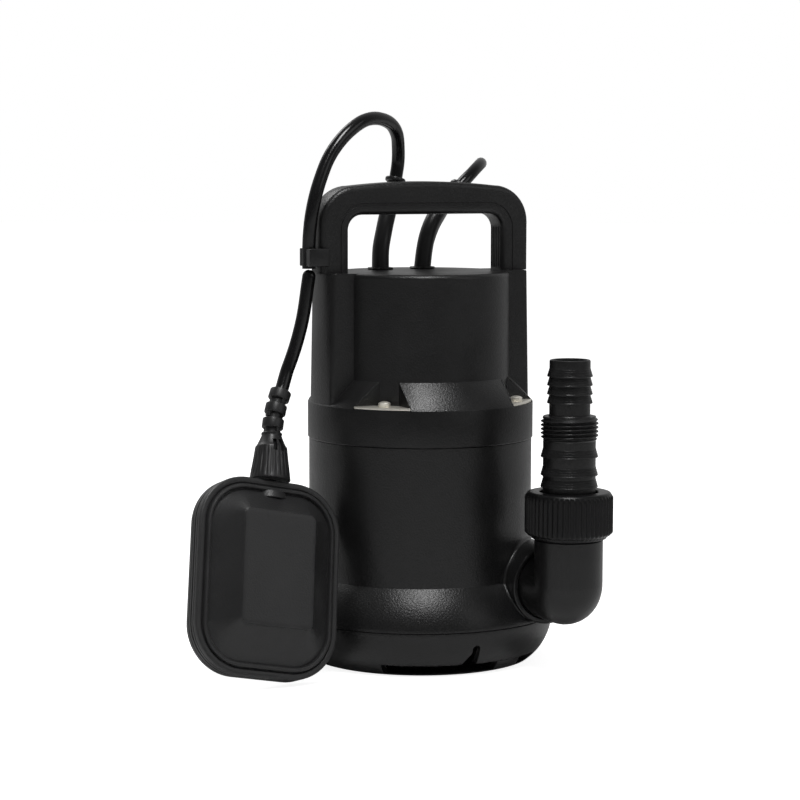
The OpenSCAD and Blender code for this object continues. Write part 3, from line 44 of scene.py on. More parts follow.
# ------------------------------------------------------------------
# Camera
# A long lens 1.5 m from the pump, a little above the handle, 25 degrees to the left of the
# discharge port.
# ------------------------------------------------------------------
MM = 0.001
camera_data = bpy.data.cameras.new("camera")
camera_data.lens = 112.805
camera_data.sensor_width = 36.0
camera_data.clip_start = 0.05
camera_data.clip_end = 60.0
camera = bpy.data.objects.new("camera", camera_data)
bpy.context.scene.collection.objects.link(camera)
camera.location = (-0.6339, -1.3581, 0.3035)
aim = Matrix.Rotation(math.radians(-24.556), 3, "Z") @ Matrix.Rotation(math.radians(84.32), 3, "X")
camera.rotation_euler = (aim @ Matrix.Rotation(math.radians(0.087), 3, "Z")).to_euler()
bpy.context.scene.camera = camera
bpy.context.scene.view_settings.view_transform = "Standard"

# ------------------------------------------------------------------
# Power cord
# Three metres of round rubber cord. It leaves the right-hand strain relief, drops behind the
# pump and lies in a neat tied coil of nine loops, with its plug beside the coil.
# ------------------------------------------------------------------


def let_go():
    """Nothing selected, in object mode."""
    if bpy.context.object is not None and bpy.context.object.mode != "OBJECT":
        bpy.ops.object.mode_set(mode="OBJECT")
    bpy.ops.object.select_all(action="DESELECT")


def eased(route, steps):
    """A smooth line through the route's points, in metres."""
    p = [Vector(x) * MM for x in route]
    p = [2 * p[0] - p[1]] + p + [2 * p[-1] - p[-2]]
    out = []
    for a, b, c, d in zip(p, p[1:], p[2:], p[3:]):
        for k in range(steps):
            t = k / steps
            out.append(
                0.5
                * (
                    2 * b
                    + (c - a) * t
                    + (2 * a - 5 * b + 4 * c - d) * t * t
                    + (3 * b - a - 3 * c + d) * t**3
                )
            )
    return out + [p[-2]]


def run_of_cord(name, points, radius, taper=None):
    """A curve along the points. taper gives each point's share of the radius."""
    data = bpy.data.curves.new(name, "CURVE")
    data.dimensions = "3D"
    data.bevel_depth = radius
    data.bevel_resolution = 5
    data.use_fill_caps = True
    spline = data.splines.new("POLY")
    spline.points.add(len(points) - 1)
    for i, p in enumerate(points):
        spline.points[i].co = (*p, 1.0)
        spline.points[i].radius = 1.0 if taper is None else taper[i]
    cord = bpy.data.objects.new(name, data)
    bpy.context.scene.collection.objects.link(cord)
    return cord


def preset(node, values):
    """Sets a shader node's inputs by name."""
    for key, value in values.items():
        node.inputs[key].default_value = value


PATCH_SCALE, GLOSS_PLAY, GRAIN_HEIGHT = 38.0, 0.05, 0.0002


def grained(name, colour, rough, grain, depth, patch=0.25, coat=0.0, specular=0.5, metallic=0.0):
    """A moulded or finished surface: fine grain in the bump, broad patches in colour and gloss."""
    m = bpy.data.materials.new(name)
    m.use_nodes = True
    n, wire = m.node_tree.nodes, m.node_tree.links
    face = n["Principled BSDF"]
    preset(face, {"Metallic": metallic, "Coat Weight": coat, "Coat Roughness": 0.12,
                  "Specular IOR Level": specular})
    place = n.new("ShaderNodeTexCoord")
    fine = n.new("ShaderNodeTexNoise")
    preset(fine, {"Scale": grain, "Detail": 4.0})
    broad = n.new("ShaderNodeTexNoise")
    preset(broad, {"Scale": PATCH_SCALE, "Detail": 4.0})
    tint = n.new("ShaderNodeMix")
    tint.data_type = "RGBA"
    preset(tint, {"A": (*[c * (1 - patch) for c in colour], 1.0),
                  "B": (*[c * (1 + patch) for c in colour], 1.0)})
    gloss = n.new("ShaderNodeMapRange")
    preset(gloss, {"From Min": 0.3, "From Max": 0.7, "To Min": rough - GLOSS_PLAY,
                   "To Max": rough + GLOSS_PLAY})
    bump = n.new("ShaderNodeBump")
    preset(bump, {"Strength": depth, "Distance": GRAIN_HEIGHT})
    for texture in (fine, broad):
        wire.new(place.outputs["Object"], texture.inputs["Vector"])
    wire.new(broad.outputs["Fac"], tint.inputs["Factor"])
    wire.new(tint.outputs["Result"], face.inputs["Base Color"])
    wire.new(broad.outputs["Fac"], gloss.inputs["Value"])
    wire.new(gloss.outputs["Result"], face.inputs["Roughness"])
    wire.new(fine.outputs["Fac"], bump.inputs["Height"])
    wire.new(bump.outputs["Normal"], face.inputs["Normal"])
    return m


def paint(piece, material):
    """Makes the material the piece's only one."""
    piece.data.materials.clear()
    piece.data.materials.append(material)


def wear(piece, material, slot, body, *nodes):
    """Gives the piece its material, the body it rides on and the nodes it stands for; slot is not used.
    """
    paint(piece, material)
    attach(piece, body)
    if nodes:
        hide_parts(*nodes)


jacket = grained("cord_jacket", (0.006, 0.006, 0.0063), 0.18, 900.0, 0.06, 0.15, specular=0.38)
cord_d = 7.4
coil_turns, coil_layers, coil_r, coil_step = 9, 4, 53.0, 8.0
coil_x, coil_y, coil_foot, coil_start = 70, 150, 1.5, 245.0


def coil_point(t):
    """A point of the coil after t loops: in and out in layers, a climb at each reversal."""
    per_layer = coil_turns / coil_layers
    layer = min(int(t / per_layer), coil_layers - 1)
    f = t - layer * per_layer
    r = coil_r - coil_step * (f if layer % 2 == 0 else per_layer - f)
    climbed = sum(
        min(1.0, max(0.0, (t - k * per_layer) * 2 + 0.5)) for k in range(1, coil_layers)
    )
    a = math.radians(coil_start - 360 * t)
    return Vector((coil_x + r * math.cos(a), coil_y + r * math.sin(a),
                   coil_foot + cord_d / 2 + coil_step * climbed))


lead = cord_d * Vector((math.sin(math.radians(coil_start)), -math.cos(math.radians(coil_start)), 0))
coil_in, coil_out = coil_point(0) - lead, coil_point(coil_turns) + lead
drop = [(42, 33.7, 281.6), (48, 35.5, 286.5), (56, 40.5, 292), (62.9, 47.8, 295.1),
        (68.1, 57.1, 295.6), (70.7, 66.6, 293.5), (70.7, 76.3, 289), (67.9, 84.3, 282.7),
        (63.2, 89.9, 273.6), (59, 95, 264), (56, 100.5, 254.5), (54.3, 104.5, 245),
        (53.2, 107, 235), (52.4, 108.5, 224), (52.3, 107.5, 203), (57, 101, 175), (66, 95, 145),
        (75, 90.5, 115), (82.5, 86.5, 85), (87, 84, 60), (88, 83, 38), (84.5, 85, 20),
        (74.5, 89.5, 9), tuple(coil_in - lead)]
plug_at, plug_turn = Vector((-16, 131.5, 12.6)), math.radians(155)
plug_way = Vector((math.cos(plug_turn), math.sin(plug_turn), 0))
tail = [tuple(coil_out), (34, 108.5, 29), (20.5, 114.5, 27.5), (7, 121, 20.5), (-2, 125, 15),
        tuple(plug_at - cord_d * plug_way), tuple(plug_at)]
LOOP_STEPS = 32
whole_cord = (
    eased(drop + [tuple(coil_in)], 4)
    + [coil_point(i / LOOP_STEPS) * MM for i in range(coil_turns * LOOP_STEPS + 1)]
    + eased(tail, 5)
)
power_cord = run_of_cord("power_cord_whole", whole_cord, cord_d / 2 * MM)
wear(power_cord, jacket, "cable_rubber", "pump", "power_cord", "power_coil", "power_cord_tail")

# ------------------------------------------------------------------
# Plug
# A three-pin moulded plug with two flat blades, a round earth pin and finger ribs. Its own
# tapered sleeve is moulded over the cord.
# ------------------------------------------------------------------


def begin(name):
    """The new primitive, named, in edit mode with everything selected."""
    piece = bpy.context.object
    piece.name = name
    piece.data.name = name
    bpy.ops.object.transform_apply(location=True, rotation=True, scale=True)
    bpy.ops.object.mode_set(mode="EDIT")
    bpy.ops.mesh.select_all(action="SELECT")
    return piece


def take_up(piece):
    """The piece alone is selected and active."""
    let_go()
    bpy.context.view_layer.objects.active = piece
    piece.select_set(True)


def tidy_mesh(piece):
    """Joins points that meet and turns every face outward."""
    take_up(piece)
    bpy.ops.object.mode_set(mode="EDIT")
    bpy.ops.mesh.select_all(action="SELECT")
    bpy.ops.mesh.remove_doubles(threshold=0.00001)
    bpy.ops.mesh.normals_make_consistent(inside=False)
    bpy.ops.object.mode_set(mode="OBJECT")
    return piece


def turned(name, profile, centre=(0.0, 0.0), steps=128, closed=True):
    """A circle drawn up ring by ring through (radius, height) pairs in mm, then joined up.
    With closed the last ring meets the first; otherwise both ends are filled."""
    let_go()
    profile = profile + [profile[0]] if closed else profile
    r, z = profile[0]
    cx, cy = centre[0] * MM, centre[1] * MM
    bpy.ops.mesh.primitive_circle_add(vertices=steps, radius=r * MM, location=(cx, cy, z * MM),
                                      fill_type="NOTHING" if closed else "NGON")
    piece = begin(name)
    for (r0, z0), (r1, z1) in zip(profile, profile[1:]):
        bpy.ops.mesh.extrude_region_move(TRANSFORM_OT_translate={"value": (0, 0, (z1 - z0) * MM)})
        if r1 != r0:
            bpy.ops.transform.resize(value=(r1 / r0, r1 / r0, 1), center_override=(cx, cy, z1 * MM))
    bpy.ops.object.mode_set(mode="OBJECT")
    return tidy_mesh(piece)


def lofted(name, rings, capped=True):
    """A tube drawn up ring by ring, whose rings are then moved to their places in mm."""
    let_go()
    steps = len(rings[0])
    bpy.ops.mesh.primitive_circle_add(vertices=steps, radius=0.01,
                                      fill_type="NGON" if capped else "NOTHING")
    piece = begin(name)
    for _ in rings[1:]:
        bpy.ops.mesh.extrude_region_move(TRANSFORM_OT_translate={"value": (0, 0, MM)})
    bpy.ops.object.mode_set(mode="OBJECT")
    for v in piece.data.vertices:
        turn = math.atan2(v.co.y, v.co.x) / math.tau - 0.25
        v.co = Vector(rings[round(v.co.z / MM)][round(turn * steps) % steps]) * MM
    return tidy_mesh(piece)


def block(name, low, high):
    """A box between two corners given in mm."""
    let_go()
    low, high = Vector(low) * MM, Vector(high) * MM
    bpy.ops.mesh.primitive_cube_add(size=1, location=(low + high) / 2, scale=high - low)
    piece = begin(name)
    bpy.ops.object.mode_set(mode="OBJECT")
    return piece


def fit(piece, other, way):
    """Cuts the piece with the other, or joins or trims it to it, and uses the other up."""
    change = piece.modifiers.new("fit", "BOOLEAN")
    change.operation = way
    change.solver = "EXACT"
    change.object = other
    take_up(piece)
    bpy.ops.object.modifier_apply(modifier=change.name)
    bpy.data.objects.remove(other, do_unlink=True)
    return piece


def cut(piece, tool):
    """Cuts the tool out of the piece and uses it up."""
    return fit(piece, tool, "DIFFERENCE")


def shade(piece, angle=32):
    """Shades the piece smooth, except across edges sharper than angle."""
    take_up(piece)
    bpy.ops.object.shade_smooth_by_angle(angle=math.radians(angle))
    return piece


def soften(piece, width, steps=2, angle=30):
    """Rounds the edges sharper than angle by width in mm and shades the rest smooth."""
    take_up(piece)
    edge = piece.modifiers.new("soften", "BEVEL")
    edge.limit_method = "ANGLE"
    edge.angle_limit = math.radians(angle)
    edge.width = width * MM
    edge.segments = steps
    edge.use_clamp_overlap = False
    bpy.ops.object.modifier_apply(modifier=edge.name)
    return shade(piece)


def merged(name, *pieces):
    """Several pieces as one object."""
    let_go()
    for p in pieces:
        p.select_set(True)
    bpy.context.view_layer.objects.active = pieces[0]
    if len(pieces) > 1:
        bpy.ops.object.join()
    pieces[0].name = name
    pieces[0].data.name = name
    return pieces[0]


def again(piece, way):
    """A copy of the piece with its own mesh, moved by a matrix."""
    copy = piece.copy()
    copy.data = piece.data.copy()
    bpy.context.scene.collection.objects.link(copy)
    copy.data.transform(way)
    return copy


def about(axis, turn):
    """A turn about this axis, in degrees."""
    return Matrix.Rotation(math.radians(turn), 4, axis)


def moved(x, y, z):
    """A move given in mm."""
    return Matrix.Translation(Vector((x, y, z)) * MM)


def around(piece, turns):
    """The piece and its copies at the further turns about Z, in degrees, as one object."""
    more = [again(piece, about("Z", a)) for a in turns]
    return merged(piece.name, piece, *more)


def arc(cx, cy, r, start, end, steps):
    """Points of an arc, with its angles in degrees."""
    turns = [math.radians(start + (end - start) * k / steps) for k in range(steps + 1)]
    return [(cx + r * math.cos(a), cy + r * math.sin(a)) for a in turns]


plug_frame = (
    Matrix.Translation(plug_at * MM)
    @ Matrix.Rotation(plug_turn, 4, "Z")
    @ about("Y", 90)
)
plug_rubber = grained("plug_rubber", (0.016, 0.016, 0.017), 0.42, 1400.0, 0.12)
sleeve = turned("plug_sleeve", [
    (3.75, 0), (4.7, 0), (5.0, 5), (5.0, 6), (5.6, 6.4), (5.6, 9), (5.1, 9.4), (5.1, 11), (5.9, 11.4),
    (5.9, 14), (5.4, 14.4), (5.4, 16), (6.3, 16.4), (6.3, 19), (5.8, 19.4), (5.8, 21), (7.0, 24.5),
    (3.75, 24.5)], steps=48)
body = block("plug_body", (-12.5, -12.5, 24), (12.5, 12.5, 54))
fit(body, turned("plug_round", [(13.9, 20), (13.9, 60)], steps=72, closed=False), "INTERSECT")
soften(body, 1.6, 3)
grips = [soften(block("grip", (near, -7, z), (near + 0.5, 7, z + 1.4)), 0.3)
         for near in (-12.6, 12.1) for z in (32, 35.5, 39, 42.5)]
plug_shell = merged("plug_moulding", body, soften(sleeve, 0.25), *grips)
plug_shell.data.transform(plug_frame)
wear(plug_shell, plug_rubber, "cable_rubber", "pump", "power_plug")

paint(parts["cord_tie"], grained("tie_band", (0.03, 0.03, 0.032), 0.5, 700.0, 0.2))
paint(parts["plug_blades"],
      grained("contact_brass", (0.72, 0.55, 0.26), 0.28, 600.0, 0.08, 0.1, metallic=1.0))

# ------------------------------------------------------------------
# Float cable
# A thicker round cable. It arches from its outlet to the clip on the handle, and below the
# clip it hangs down to the float's boot and swings with the float.
# ------------------------------------------------------------------
float_d = 8.0
arch = [(0, 36, 287), (1.5, 36, 296.5), (0.5, 33.5, 305.5), (-3, 28, 313.6), (-10, 22, 319.8),
        (-21.5, 14.5, 322.6), (-33, 8.5, 321.2), (-44, 4, 315.4), (-53, 1.5, 307.5),
        (-59.8, 0, 298.5), (-65, -2, 288.5), (-69, -3.5, 278.5), (-71.6, -3.5, 267.5),
        (-72.7, -2.5, 256.5), (-72.8, -1.5, 246), (-72.8, -1.5, 234.7)]
float_arch = run_of_cord("float_cable_arch", eased(arch, 5), float_d / 2 * MM)
wear(float_arch, jacket, "cable_rubber", "pump", "float_cable_upper")

float_frame = moved(-115.8, -37.6, 59.4) @ about("Z", 6.7) @ about("X", -17) @ about("Y", 11.6)
boot_foot = moved(1.2, 0, 57)
boot_bend = about("Y", 5.5)
boot_joints = [boot_foot @ Matrix.Translation((0, 0, 29.5 * MM))]
for _ in range(3):
    boot_joints.append(boot_joints[-1] @ boot_bend @ Matrix.Translation((0, 0, 9 * MM)))
boot_end = float_frame @ boot_joints[-1] @ Vector((0, 0, 0)) / MM
boot_on = float_frame @ boot_joints[-1] @ Vector((0, 0, 3 * MM)) / MM
pivot = Vector((-72.8, -1.5, 230.2))
hang = [tuple(boot_end), tuple(boot_on), (-86, 0.9, 174.5), (-83.3, 1.2, 181), (-80.7, 0.8, 188.5),
        (-78.5, 0.1, 196.5), (-76.6, -0.6, 205), (-75.1, -1.1, 214), (-73.9, -1.4, 223), tuple(pivot)]
hang_line = eased(hang, 5)
up = (hang_line[-1] - hang_line[-2]).normalized()
dome = [(0.25, 0.968), (0.5, 0.866), (0.71, 0.704), (0.87, 0.493), (0.96, 0.28)]
hang_line += [hang_line[-1] + up * float_d / 2 * MM * a for a, _ in dome]
float_hang = run_of_cord("float_cable_hang", hang_line, float_d / 2 * MM,
                         [1.0] * (len(hang_line) - len(dome)) + [b for _, b in dome])
wear(float_hang, jacket, "cable_rubber", "float", "float_cable_lower")

# ------------------------------------------------------------------
# Strainer base
# A shallow moulded bowl that rolls under to a flat foot. Water enters through three long low
# gaps and an arched slot over each. Three screws hold it to the housing from below.
# ------------------------------------------------------------------


def sector(piece, start, span):
    """Keeps the part of the piece between two angles about Z, in degrees."""
    take_up(piece)
    bpy.ops.object.mode_set(mode="EDIT")
    for angle, side in ((start, 1), (start + span, -1)):
        a = math.radians(angle)
        bpy.ops.mesh.select_all(action="SELECT")
        bpy.ops.mesh.bisect(plane_co=(0, 0, 0), plane_no=(side * math.sin(a), -side * math.cos(a), 0),
                            use_fill=True, clear_outer=True)
    bpy.ops.object.mode_set(mode="OBJECT")
    return tidy_mesh(piece)


def prism(name, outline, low, high, place):
    """A flat outline carried from low to high. place gives each point's spot in mm."""
    return lofted(name, [[place(u, v, w) for u, v in outline] for w in (low, high)])


moulded_black = grained("moulded_black", (0.0075, 0.0075, 0.0077), 0.34, 1000.0, 1.0, 0.3,
                        specular=0.42)
THIRDS = (120, 240)
bowl = turned(
    "strainer_bowl",
    [(30, 0), (65.1, 0)]
    + arc(46.7, 27, 33, -54, -0.8, 18)
    + [(79.65, 26.7), (79.3, 27), (76.6, 27)]
    + arc(46.7, 29.4, 30, -5.4, -63.4, 12)
    + [(59.4, 2.4), (30, 2.4)],
    steps=192, closed=False,
)
gap = sector(turned("intake_gap", [(51.7, 1.6), (90, 1.6), (90, 7), (51.7, 7)], steps=192), 227, 86)
cut(bowl, around(gap, THIRDS))
slot_shape = [(-2.2, 6)] + [(-u, v) for u, v in arc(0, 16.8, 2.2, 0, 180, 12)] + [(2.2, 6)]
arch_slot = prism("arch_slot", slot_shape[::-1], 54, 90, lambda u, v, w: (u, -w, v))
cut(bowl, around(arch_slot, THIRDS))
# The slot's left cheek is a slanted facet that leans outward as it rises.
cheek = lofted("arch_cheek", [
    [(-20.7, -at - 20.5, z), (-0.2, -at - 20.5, z), (-0.2, -at, z), (-2.2, -at, z)]
    for z, at in ((5, 64.1), (16, 79.2))])
cut(bowl, around(cheek, THIRDS))
soften(bowl, 0.45, 2, 38)
rib_shape = [(55.7, 1.2), (68.0, 1.2), (70.6, 4), (72.3, 7), (72.8, 11), (55.7, 11)]
rib = sector(turned("intake_rib", rib_shape, steps=192), 284, 16)
ribs = around(soften(rib, 0.4, 2, 38), THIRDS)
post_turn = math.radians(292)
post_at = (59 * math.cos(post_turn), 59 * math.sin(post_turn))
post_shape = [(3.1, 1), (4.1, 1), (4.1, 27), (1.9, 27), (1.9, 21), (3.1, 21)]
post = turned("screw_post", post_shape, post_at, 32)
posts = around(shade(post), THIRDS)
well = turned("screw_well", [(3.1, -1), (3.1, 2)], post_at, 32, closed=False)
strainer = merged("strainer_base", bowl, ribs)
cut(strainer, around(well, THIRDS))
strainer = merged("strainer_base", strainer, posts)
wear(strainer, moulded_black, "housing_plastic", "pump", "strainer_base")

# ------------------------------------------------------------------
# Pump housing
# A straight moulded can that flares out to a skirt at the seam. The volute's outlet leaves it
# in a round boss with a soft root, into which the elbow is sealed.
# ------------------------------------------------------------------
PORT_X, PORT_Z = 49.4, 50.0
BOSS_R, BOSS_FACE, BOSS_RUN = 23.1, 73, 61
FLARE_Z, FLARE_HIGH, FLARE_R, FLARE_IN, FLARE_SWELL = 28.5, 22.5, 79.7, 12.9, 2.2
port_frame = moved(PORT_X, 0, PORT_Z) @ about("X", 90)


def skirt_r(z):
    """Outer radius of the housing at a height."""
    f = min(1.0, max(0.0, (z - FLARE_Z) / FLARE_HIGH))
    swell = FLARE_SWELL * 4 * f * (1 - f) * FLARE_HIGH / math.hypot(FLARE_HIGH, FLARE_IN)
    return FLARE_R - FLARE_IN * f + swell


flare = [(skirt_r(z), z) for z in [FLARE_Z + 1.25 * k for k in range(19)]]
housing = turned(
    "housing_can",
    [(79.35, 27.02), (79.7, 27.35)]
    + flare
    + [(66.8, 70), (66.8, 132.6), (66.4, 133), (63.5, 133), (63.5, 67.6), (12, 67.6), (12, 64),
       (63.4, 64)]
    + [(r - 3.3, z) for r, z in flare[::-2]]
    + [(76.4, 27.02)],
    steps=192,
)
boss = turned("port_boss", [(r, z) for z, r in arc(12, 0, BOSS_R, 174, 90, 14)]
              + [(BOSS_R, 71.9), (22.85, 72.6), (22.3, BOSS_FACE), (6, BOSS_FACE)], steps=96,
              closed=False)
boss.data.transform(port_frame)
under = turned("under_seam", [(79.9, 10), (79.9, 27)], steps=192, closed=False)
cut(boss, under)
fit(housing, boss, "UNION")
bore_shape = [(13.5, 20), (13.5, 61), (20, 61), (20, 72.3), (20.9, 73.2), (20.9, 80)]
bore = turned("port_bore", bore_shape, steps=96, closed=False)
bore.data.transform(port_frame)
cut(housing, bore)
shade(housing, 34)


def boss_point(turn, s, grown):
    """Point of the boss, grown by so much, s mm behind its rim at this turn about its axis."""
    r = BOSS_R + grown
    back = max(0.0, s - BOSS_RUN) / r
    out = r * math.cos(back)
    return Vector((PORT_X + out * math.cos(turn), -BOSS_FACE + min(s, BOSS_RUN) + r * math.sin(back),
                   PORT_Z + out * math.sin(turn)))


def meeting(turn, grown):
    """How far behind its rim the grown boss meets the housing."""
    low, high = 0.0, 60 + 1.5 * (BOSS_R + grown)
    for _ in range(40):
        s = (low + high) / 2
        p = boss_point(turn, s, grown)
        if math.hypot(p.x, p.y) > skirt_r(p.z):
            low = s
        else:
            high = s
    return low


ROOT_SIDES, ROOT_RINGS, ROOT_REACH = 144, 10, 2.6
root_lines = []
for k in range(ROOT_SIDES):
    turn = math.tau * k / ROOT_SIDES
    height = PORT_Z + BOSS_R * math.sin(turn)
    reach = ROOT_REACH * min(1.0, max(0.05, (height - 30) / 9))
    s = meeting(turn, 0)
    a, b = boss_point(turn, s - reach, 0), boss_point(turn, s, 0)
    c = boss_point(turn, meeting(turn, reach), reach)
    shares = [i / (ROOT_RINGS - 1) for i in range(ROOT_RINGS)]
    root_lines.append([(1 - t) ** 2 * a + 2 * t * (1 - t) * b + t * t * c for t in shares])
root_rings = [[line[i] for line in root_lines] for i in range(ROOT_RINGS)]
root = lofted("port_root", root_rings, capped=False)
shade(root, 60)
housing = merged("pump_housing", housing, root)
wear(housing, moulded_black, "housing_plastic", "pump", "pump_housing")

# ------------------------------------------------------------------
# Discharge elbow
# A moulded elbow, sealed into the port with a ring. Its upright leg ends in a shoulder, above
# which it carries the union's male thread.
# ------------------------------------------------------------------
fitting_black = grained("fitting_black", (0.007, 0.007, 0.0072), 0.33, 1100.0, 0.6, 0.3, specular=0.42)
UP = (49.4, -97.0)
LEG_R, LEG_SIDES, WATER_R = 19.8, 128, 13.5
leg_shape = [(LEG_R, 54.5), (LEG_R, 80.4), (19.5, 80.8), (18.4, 80.8), (18.4, 98.6), (18.0, 99), (6, 99)]
upright = turned("elbow_upright", leg_shape, UP, LEG_SIDES, closed=False)
level = turned("elbow_level", [(6, 61.2), (19.3, 61.2), (LEG_R, 61.7), (LEG_R, 65.2), (18.1, 65.2),
                               (18.1, 67.8), (LEG_R, 67.8), (LEG_R, 92.5)], steps=LEG_SIDES, closed=False)
level.data.transform(port_frame)


def corner_point(a, b):
    """A point of the bend, at angle a round the leg and b through the turn from level to upright."""
    reach = max(0.01, 5 + LEG_R * math.cos(a))
    return (49.4 + LEG_R * math.sin(a), -92 - reach * math.cos(b), 55 - reach * math.sin(b))


corner = lofted("elbow_corner", [
    [corner_point(math.tau * i / LEG_SIDES, math.radians(7.5 * k)) for i in range(LEG_SIDES)]
    for k in range(13)])
fit(upright, level, "UNION")
fit(upright, corner, "UNION")
water_shape = [(r, z) for z, r in arc(50, 0, WATER_R, 174, 90, 8)] + [(WATER_R, 110)]
cut(upright, turned("elbow_water", water_shape, UP, 64, closed=False))
way_in = turned("elbow_way_in", [(WATER_R, 50), (WATER_R, 96)], steps=64, closed=False)
way_in.data.transform(port_frame)
cut(upright, way_in)
shade(upright, 34)


def threaded(name, centre, low, high, root_r, crest_r, pitch, inner_r, steps=96):
    """A sleeve with a thread wound up its outside, run out at both ends."""
    rows = round((high - low) / (pitch / 14))
    lines = [low + 0.01 + (high - low - 0.02) * k / rows for k in range(rows + 1)]
    shape = [(root_r, z) for z in lines] + [(inner_r, high - 0.01), (inner_r, low + 0.01)]
    piece = turned(name, shape, centre, steps)
    for v in piece.data.vertices:
        x, y, z = v.co.x / MM - centre[0], v.co.y / MM - centre[1], v.co.z / MM
        r = math.hypot(x, y)
        if r < (root_r + inner_r) / 2:
            continue
        f = ((z - low) / pitch - math.atan2(y, x) / math.tau) % 1.0
        rise = min(1.0, max(0.0, 1.25 - abs(f - 0.5) * 2.9))
        run_out = min(1.0, max(0.0, (z - low - 0.1) / pitch), max(0.0, (high - 0.1 - z) / pitch))
        grow = (r + (crest_r - root_r) * rise * run_out) / r
        v.co.x, v.co.y = (centre[0] + x * grow) * MM, (centre[1] + y * grow) * MM
    return shade(piece, 50)


PITCH = 2.309
elbow_thread = threaded("elbow_thread", UP, 83.4, 98.4, 18.5, 19.75, PITCH, 17.5)
elbow = merged("discharge_elbow", upright, elbow_thread)
wear(elbow, fitting_black, "fitting_plastic", "pump", "discharge_elbow")

# ------------------------------------------------------------------
# Union nut
# A moulded nut with fifty-two fine grip ribs between a stepped foot and a rounded top edge. It
# turns freely on the hose adapter's flange.
# ------------------------------------------------------------------
NUT_SIDES = 416
nut = turned(
    "union_nut",
    [(20.15, 81.6), (21.4, 81.6), (21.7, 81.8), (22.0, 82.4), (22.4, 83.1), (22.5, 83.3), (22.9, 83.4),
     (23.5, 83.6), (24.2, 84.0), (24.6, 84.5), (24.75, 84.9), (24.75, 85.4), (24.75, 88), (24.75, 96),
     (24.75, 104), (24.75, 105.6), (24.75, 106.2), (24.6, 107.0), (24.2, 107.7), (23.6, 108.3),
     (22.9, 108.55), (22.2, 108.6), (17.6, 108.6), (17.1, 108.1), (17.1, 103.8), (20.15, 103.8)],
    UP, NUT_SIDES,
)
RIB = (0.75, 0.62, 0.1, -0.12, -0.15, -0.12, 0.1, 0.62)
for v in nut.data.vertices:
    x, y, z = v.co.x / MM - UP[0], v.co.y / MM - UP[1], v.co.z / MM
    r = math.hypot(x, y)
    share = RIB[round(math.atan2(y, x) / math.tau * NUT_SIDES) % len(RIB)]
    if r > 24.5 and 84.7 < z < 106.4:
        grow = (r + share * (1.0 if 85 < z < 106 else 0.55)) / r
    elif r > 22.35 and z < 84:
        grow = (r + share * 0.5) / r
    else:
        continue
    v.co.x, v.co.y = (UP[0] + x * grow) * MM, (UP[1] + y * grow) * MM
shade(nut, 38)
nut_black = grained("nut_black", (0.005, 0.005, 0.0053), 0.3, 1100.0, 0.3, 0.2, specular=0.24)
wear(nut, nut_black, "fitting_plastic", "nut", "union_nut")

# ------------------------------------------------------------------
# Hose adapter
# One moulding: a flange under the nut, a wide tail with three barbs, a male pipe thread and a
# slimmer tail with four barbs. The tail that isn't wanted is sawn off.
# ------------------------------------------------------------------


def barb(r, z, high):
    """A sharp lower edge that tapers up into the tail."""
    line = [(r, z), (r + 1.15, z + 0.05), (r + 1.3, z + 0.2), (r + 1.3, z + 0.6), (r + 1.15, z + LIP)]
    steps = int((high - LIP) / 1.1)
    for k in range(steps):
        at, fall = z + LIP + (high - LIP) * (k + 1) / steps, 1.15 * (1 - (k + 1) / steps)
        line += [(r + fall + 0.2, at - 0.28), (r + fall, at - 0.12)]
    return line


LIP, WIDE_R, SLIM_R = 0.85, 15.2, 11.8
adapter = turned(
    "adapter_body",
    [(9.8, 100.6), (19.2, 100.6), (19.45, 100.85), (19.45, 103.3), (19.2, 103.55), (15.5, 103.55),
     (WIDE_R, 104)]
    + [p for z in (111.2, 118.1, 128.6) for p in barb(WIDE_R, z, 5)]
    + [(WIDE_R, 137.7), (15.0, 138), (14.9, 152.2), (12.3, 152.2), (SLIM_R, 152.7)]
    + [p for z in (159.6, 164.7, 169.8, 174.9) for p in barb(SLIM_R, z, 4.7)]
    + [(SLIM_R, 183.6), (11.65, 184.2), (11.2, 184.55), (10.5, 184.6), (10.0, 184.4), (9.8, 183.9)],
    UP, 128,
)
shade(adapter, 16)
pipe_thread = threaded("pipe_thread", UP, 137.9, 152.2, 15.1, 16.58, PITCH, 14.0, 128)
adapter = merged("hose_adapter", adapter, pipe_thread)
wear(adapter, fitting_black, "fitting_plastic", "adapter", "hose_adapter")

# ------------------------------------------------------------------
# Top cover
# One moulding: a collar that caps the housing, a sloped shoulder, a round head and a pillar on
# each side for the handle. Four square corner pockets take the clamp plates, and a thin bead
# rounds the edges where they cut the slope.
# ------------------------------------------------------------------
cover = turned(
    "cover_shell",
    [(20, 229), (49.8, 229), (49.8, 153.2), (56.1, 153.2), (56.1, 127), (63.3, 127), (63.3, 133.05),
     (67.1, 133.05), (67.5, 133.5), (67.5, 154.1), (67.3, 154.6), (53.6, 169.1), (53.1, 169.6),
     (53, 170.4), (53, 229.2)]
    + arc(50.2, 229.2, 2.8, 8, 82, 6)
    + [(50.0, 232), (20, 232)],
    steps=192, closed=False,
)
POCKET = 33
pockets = []
for a in (0, 90, 180, 270):
    corner_cut = block("corner_pocket", (POCKET, POCKET, 154.5), (73, 73, 169.85))
    corner_cut.data.transform(about("Z", a))
    pockets.append(corner_cut)
pocket = merged("corner_pockets", *pockets)
cut(pocket, turned("head_core", [(53.07, 150), (53.07, 195)], steps=192, closed=False))
cut(cover, pocket)


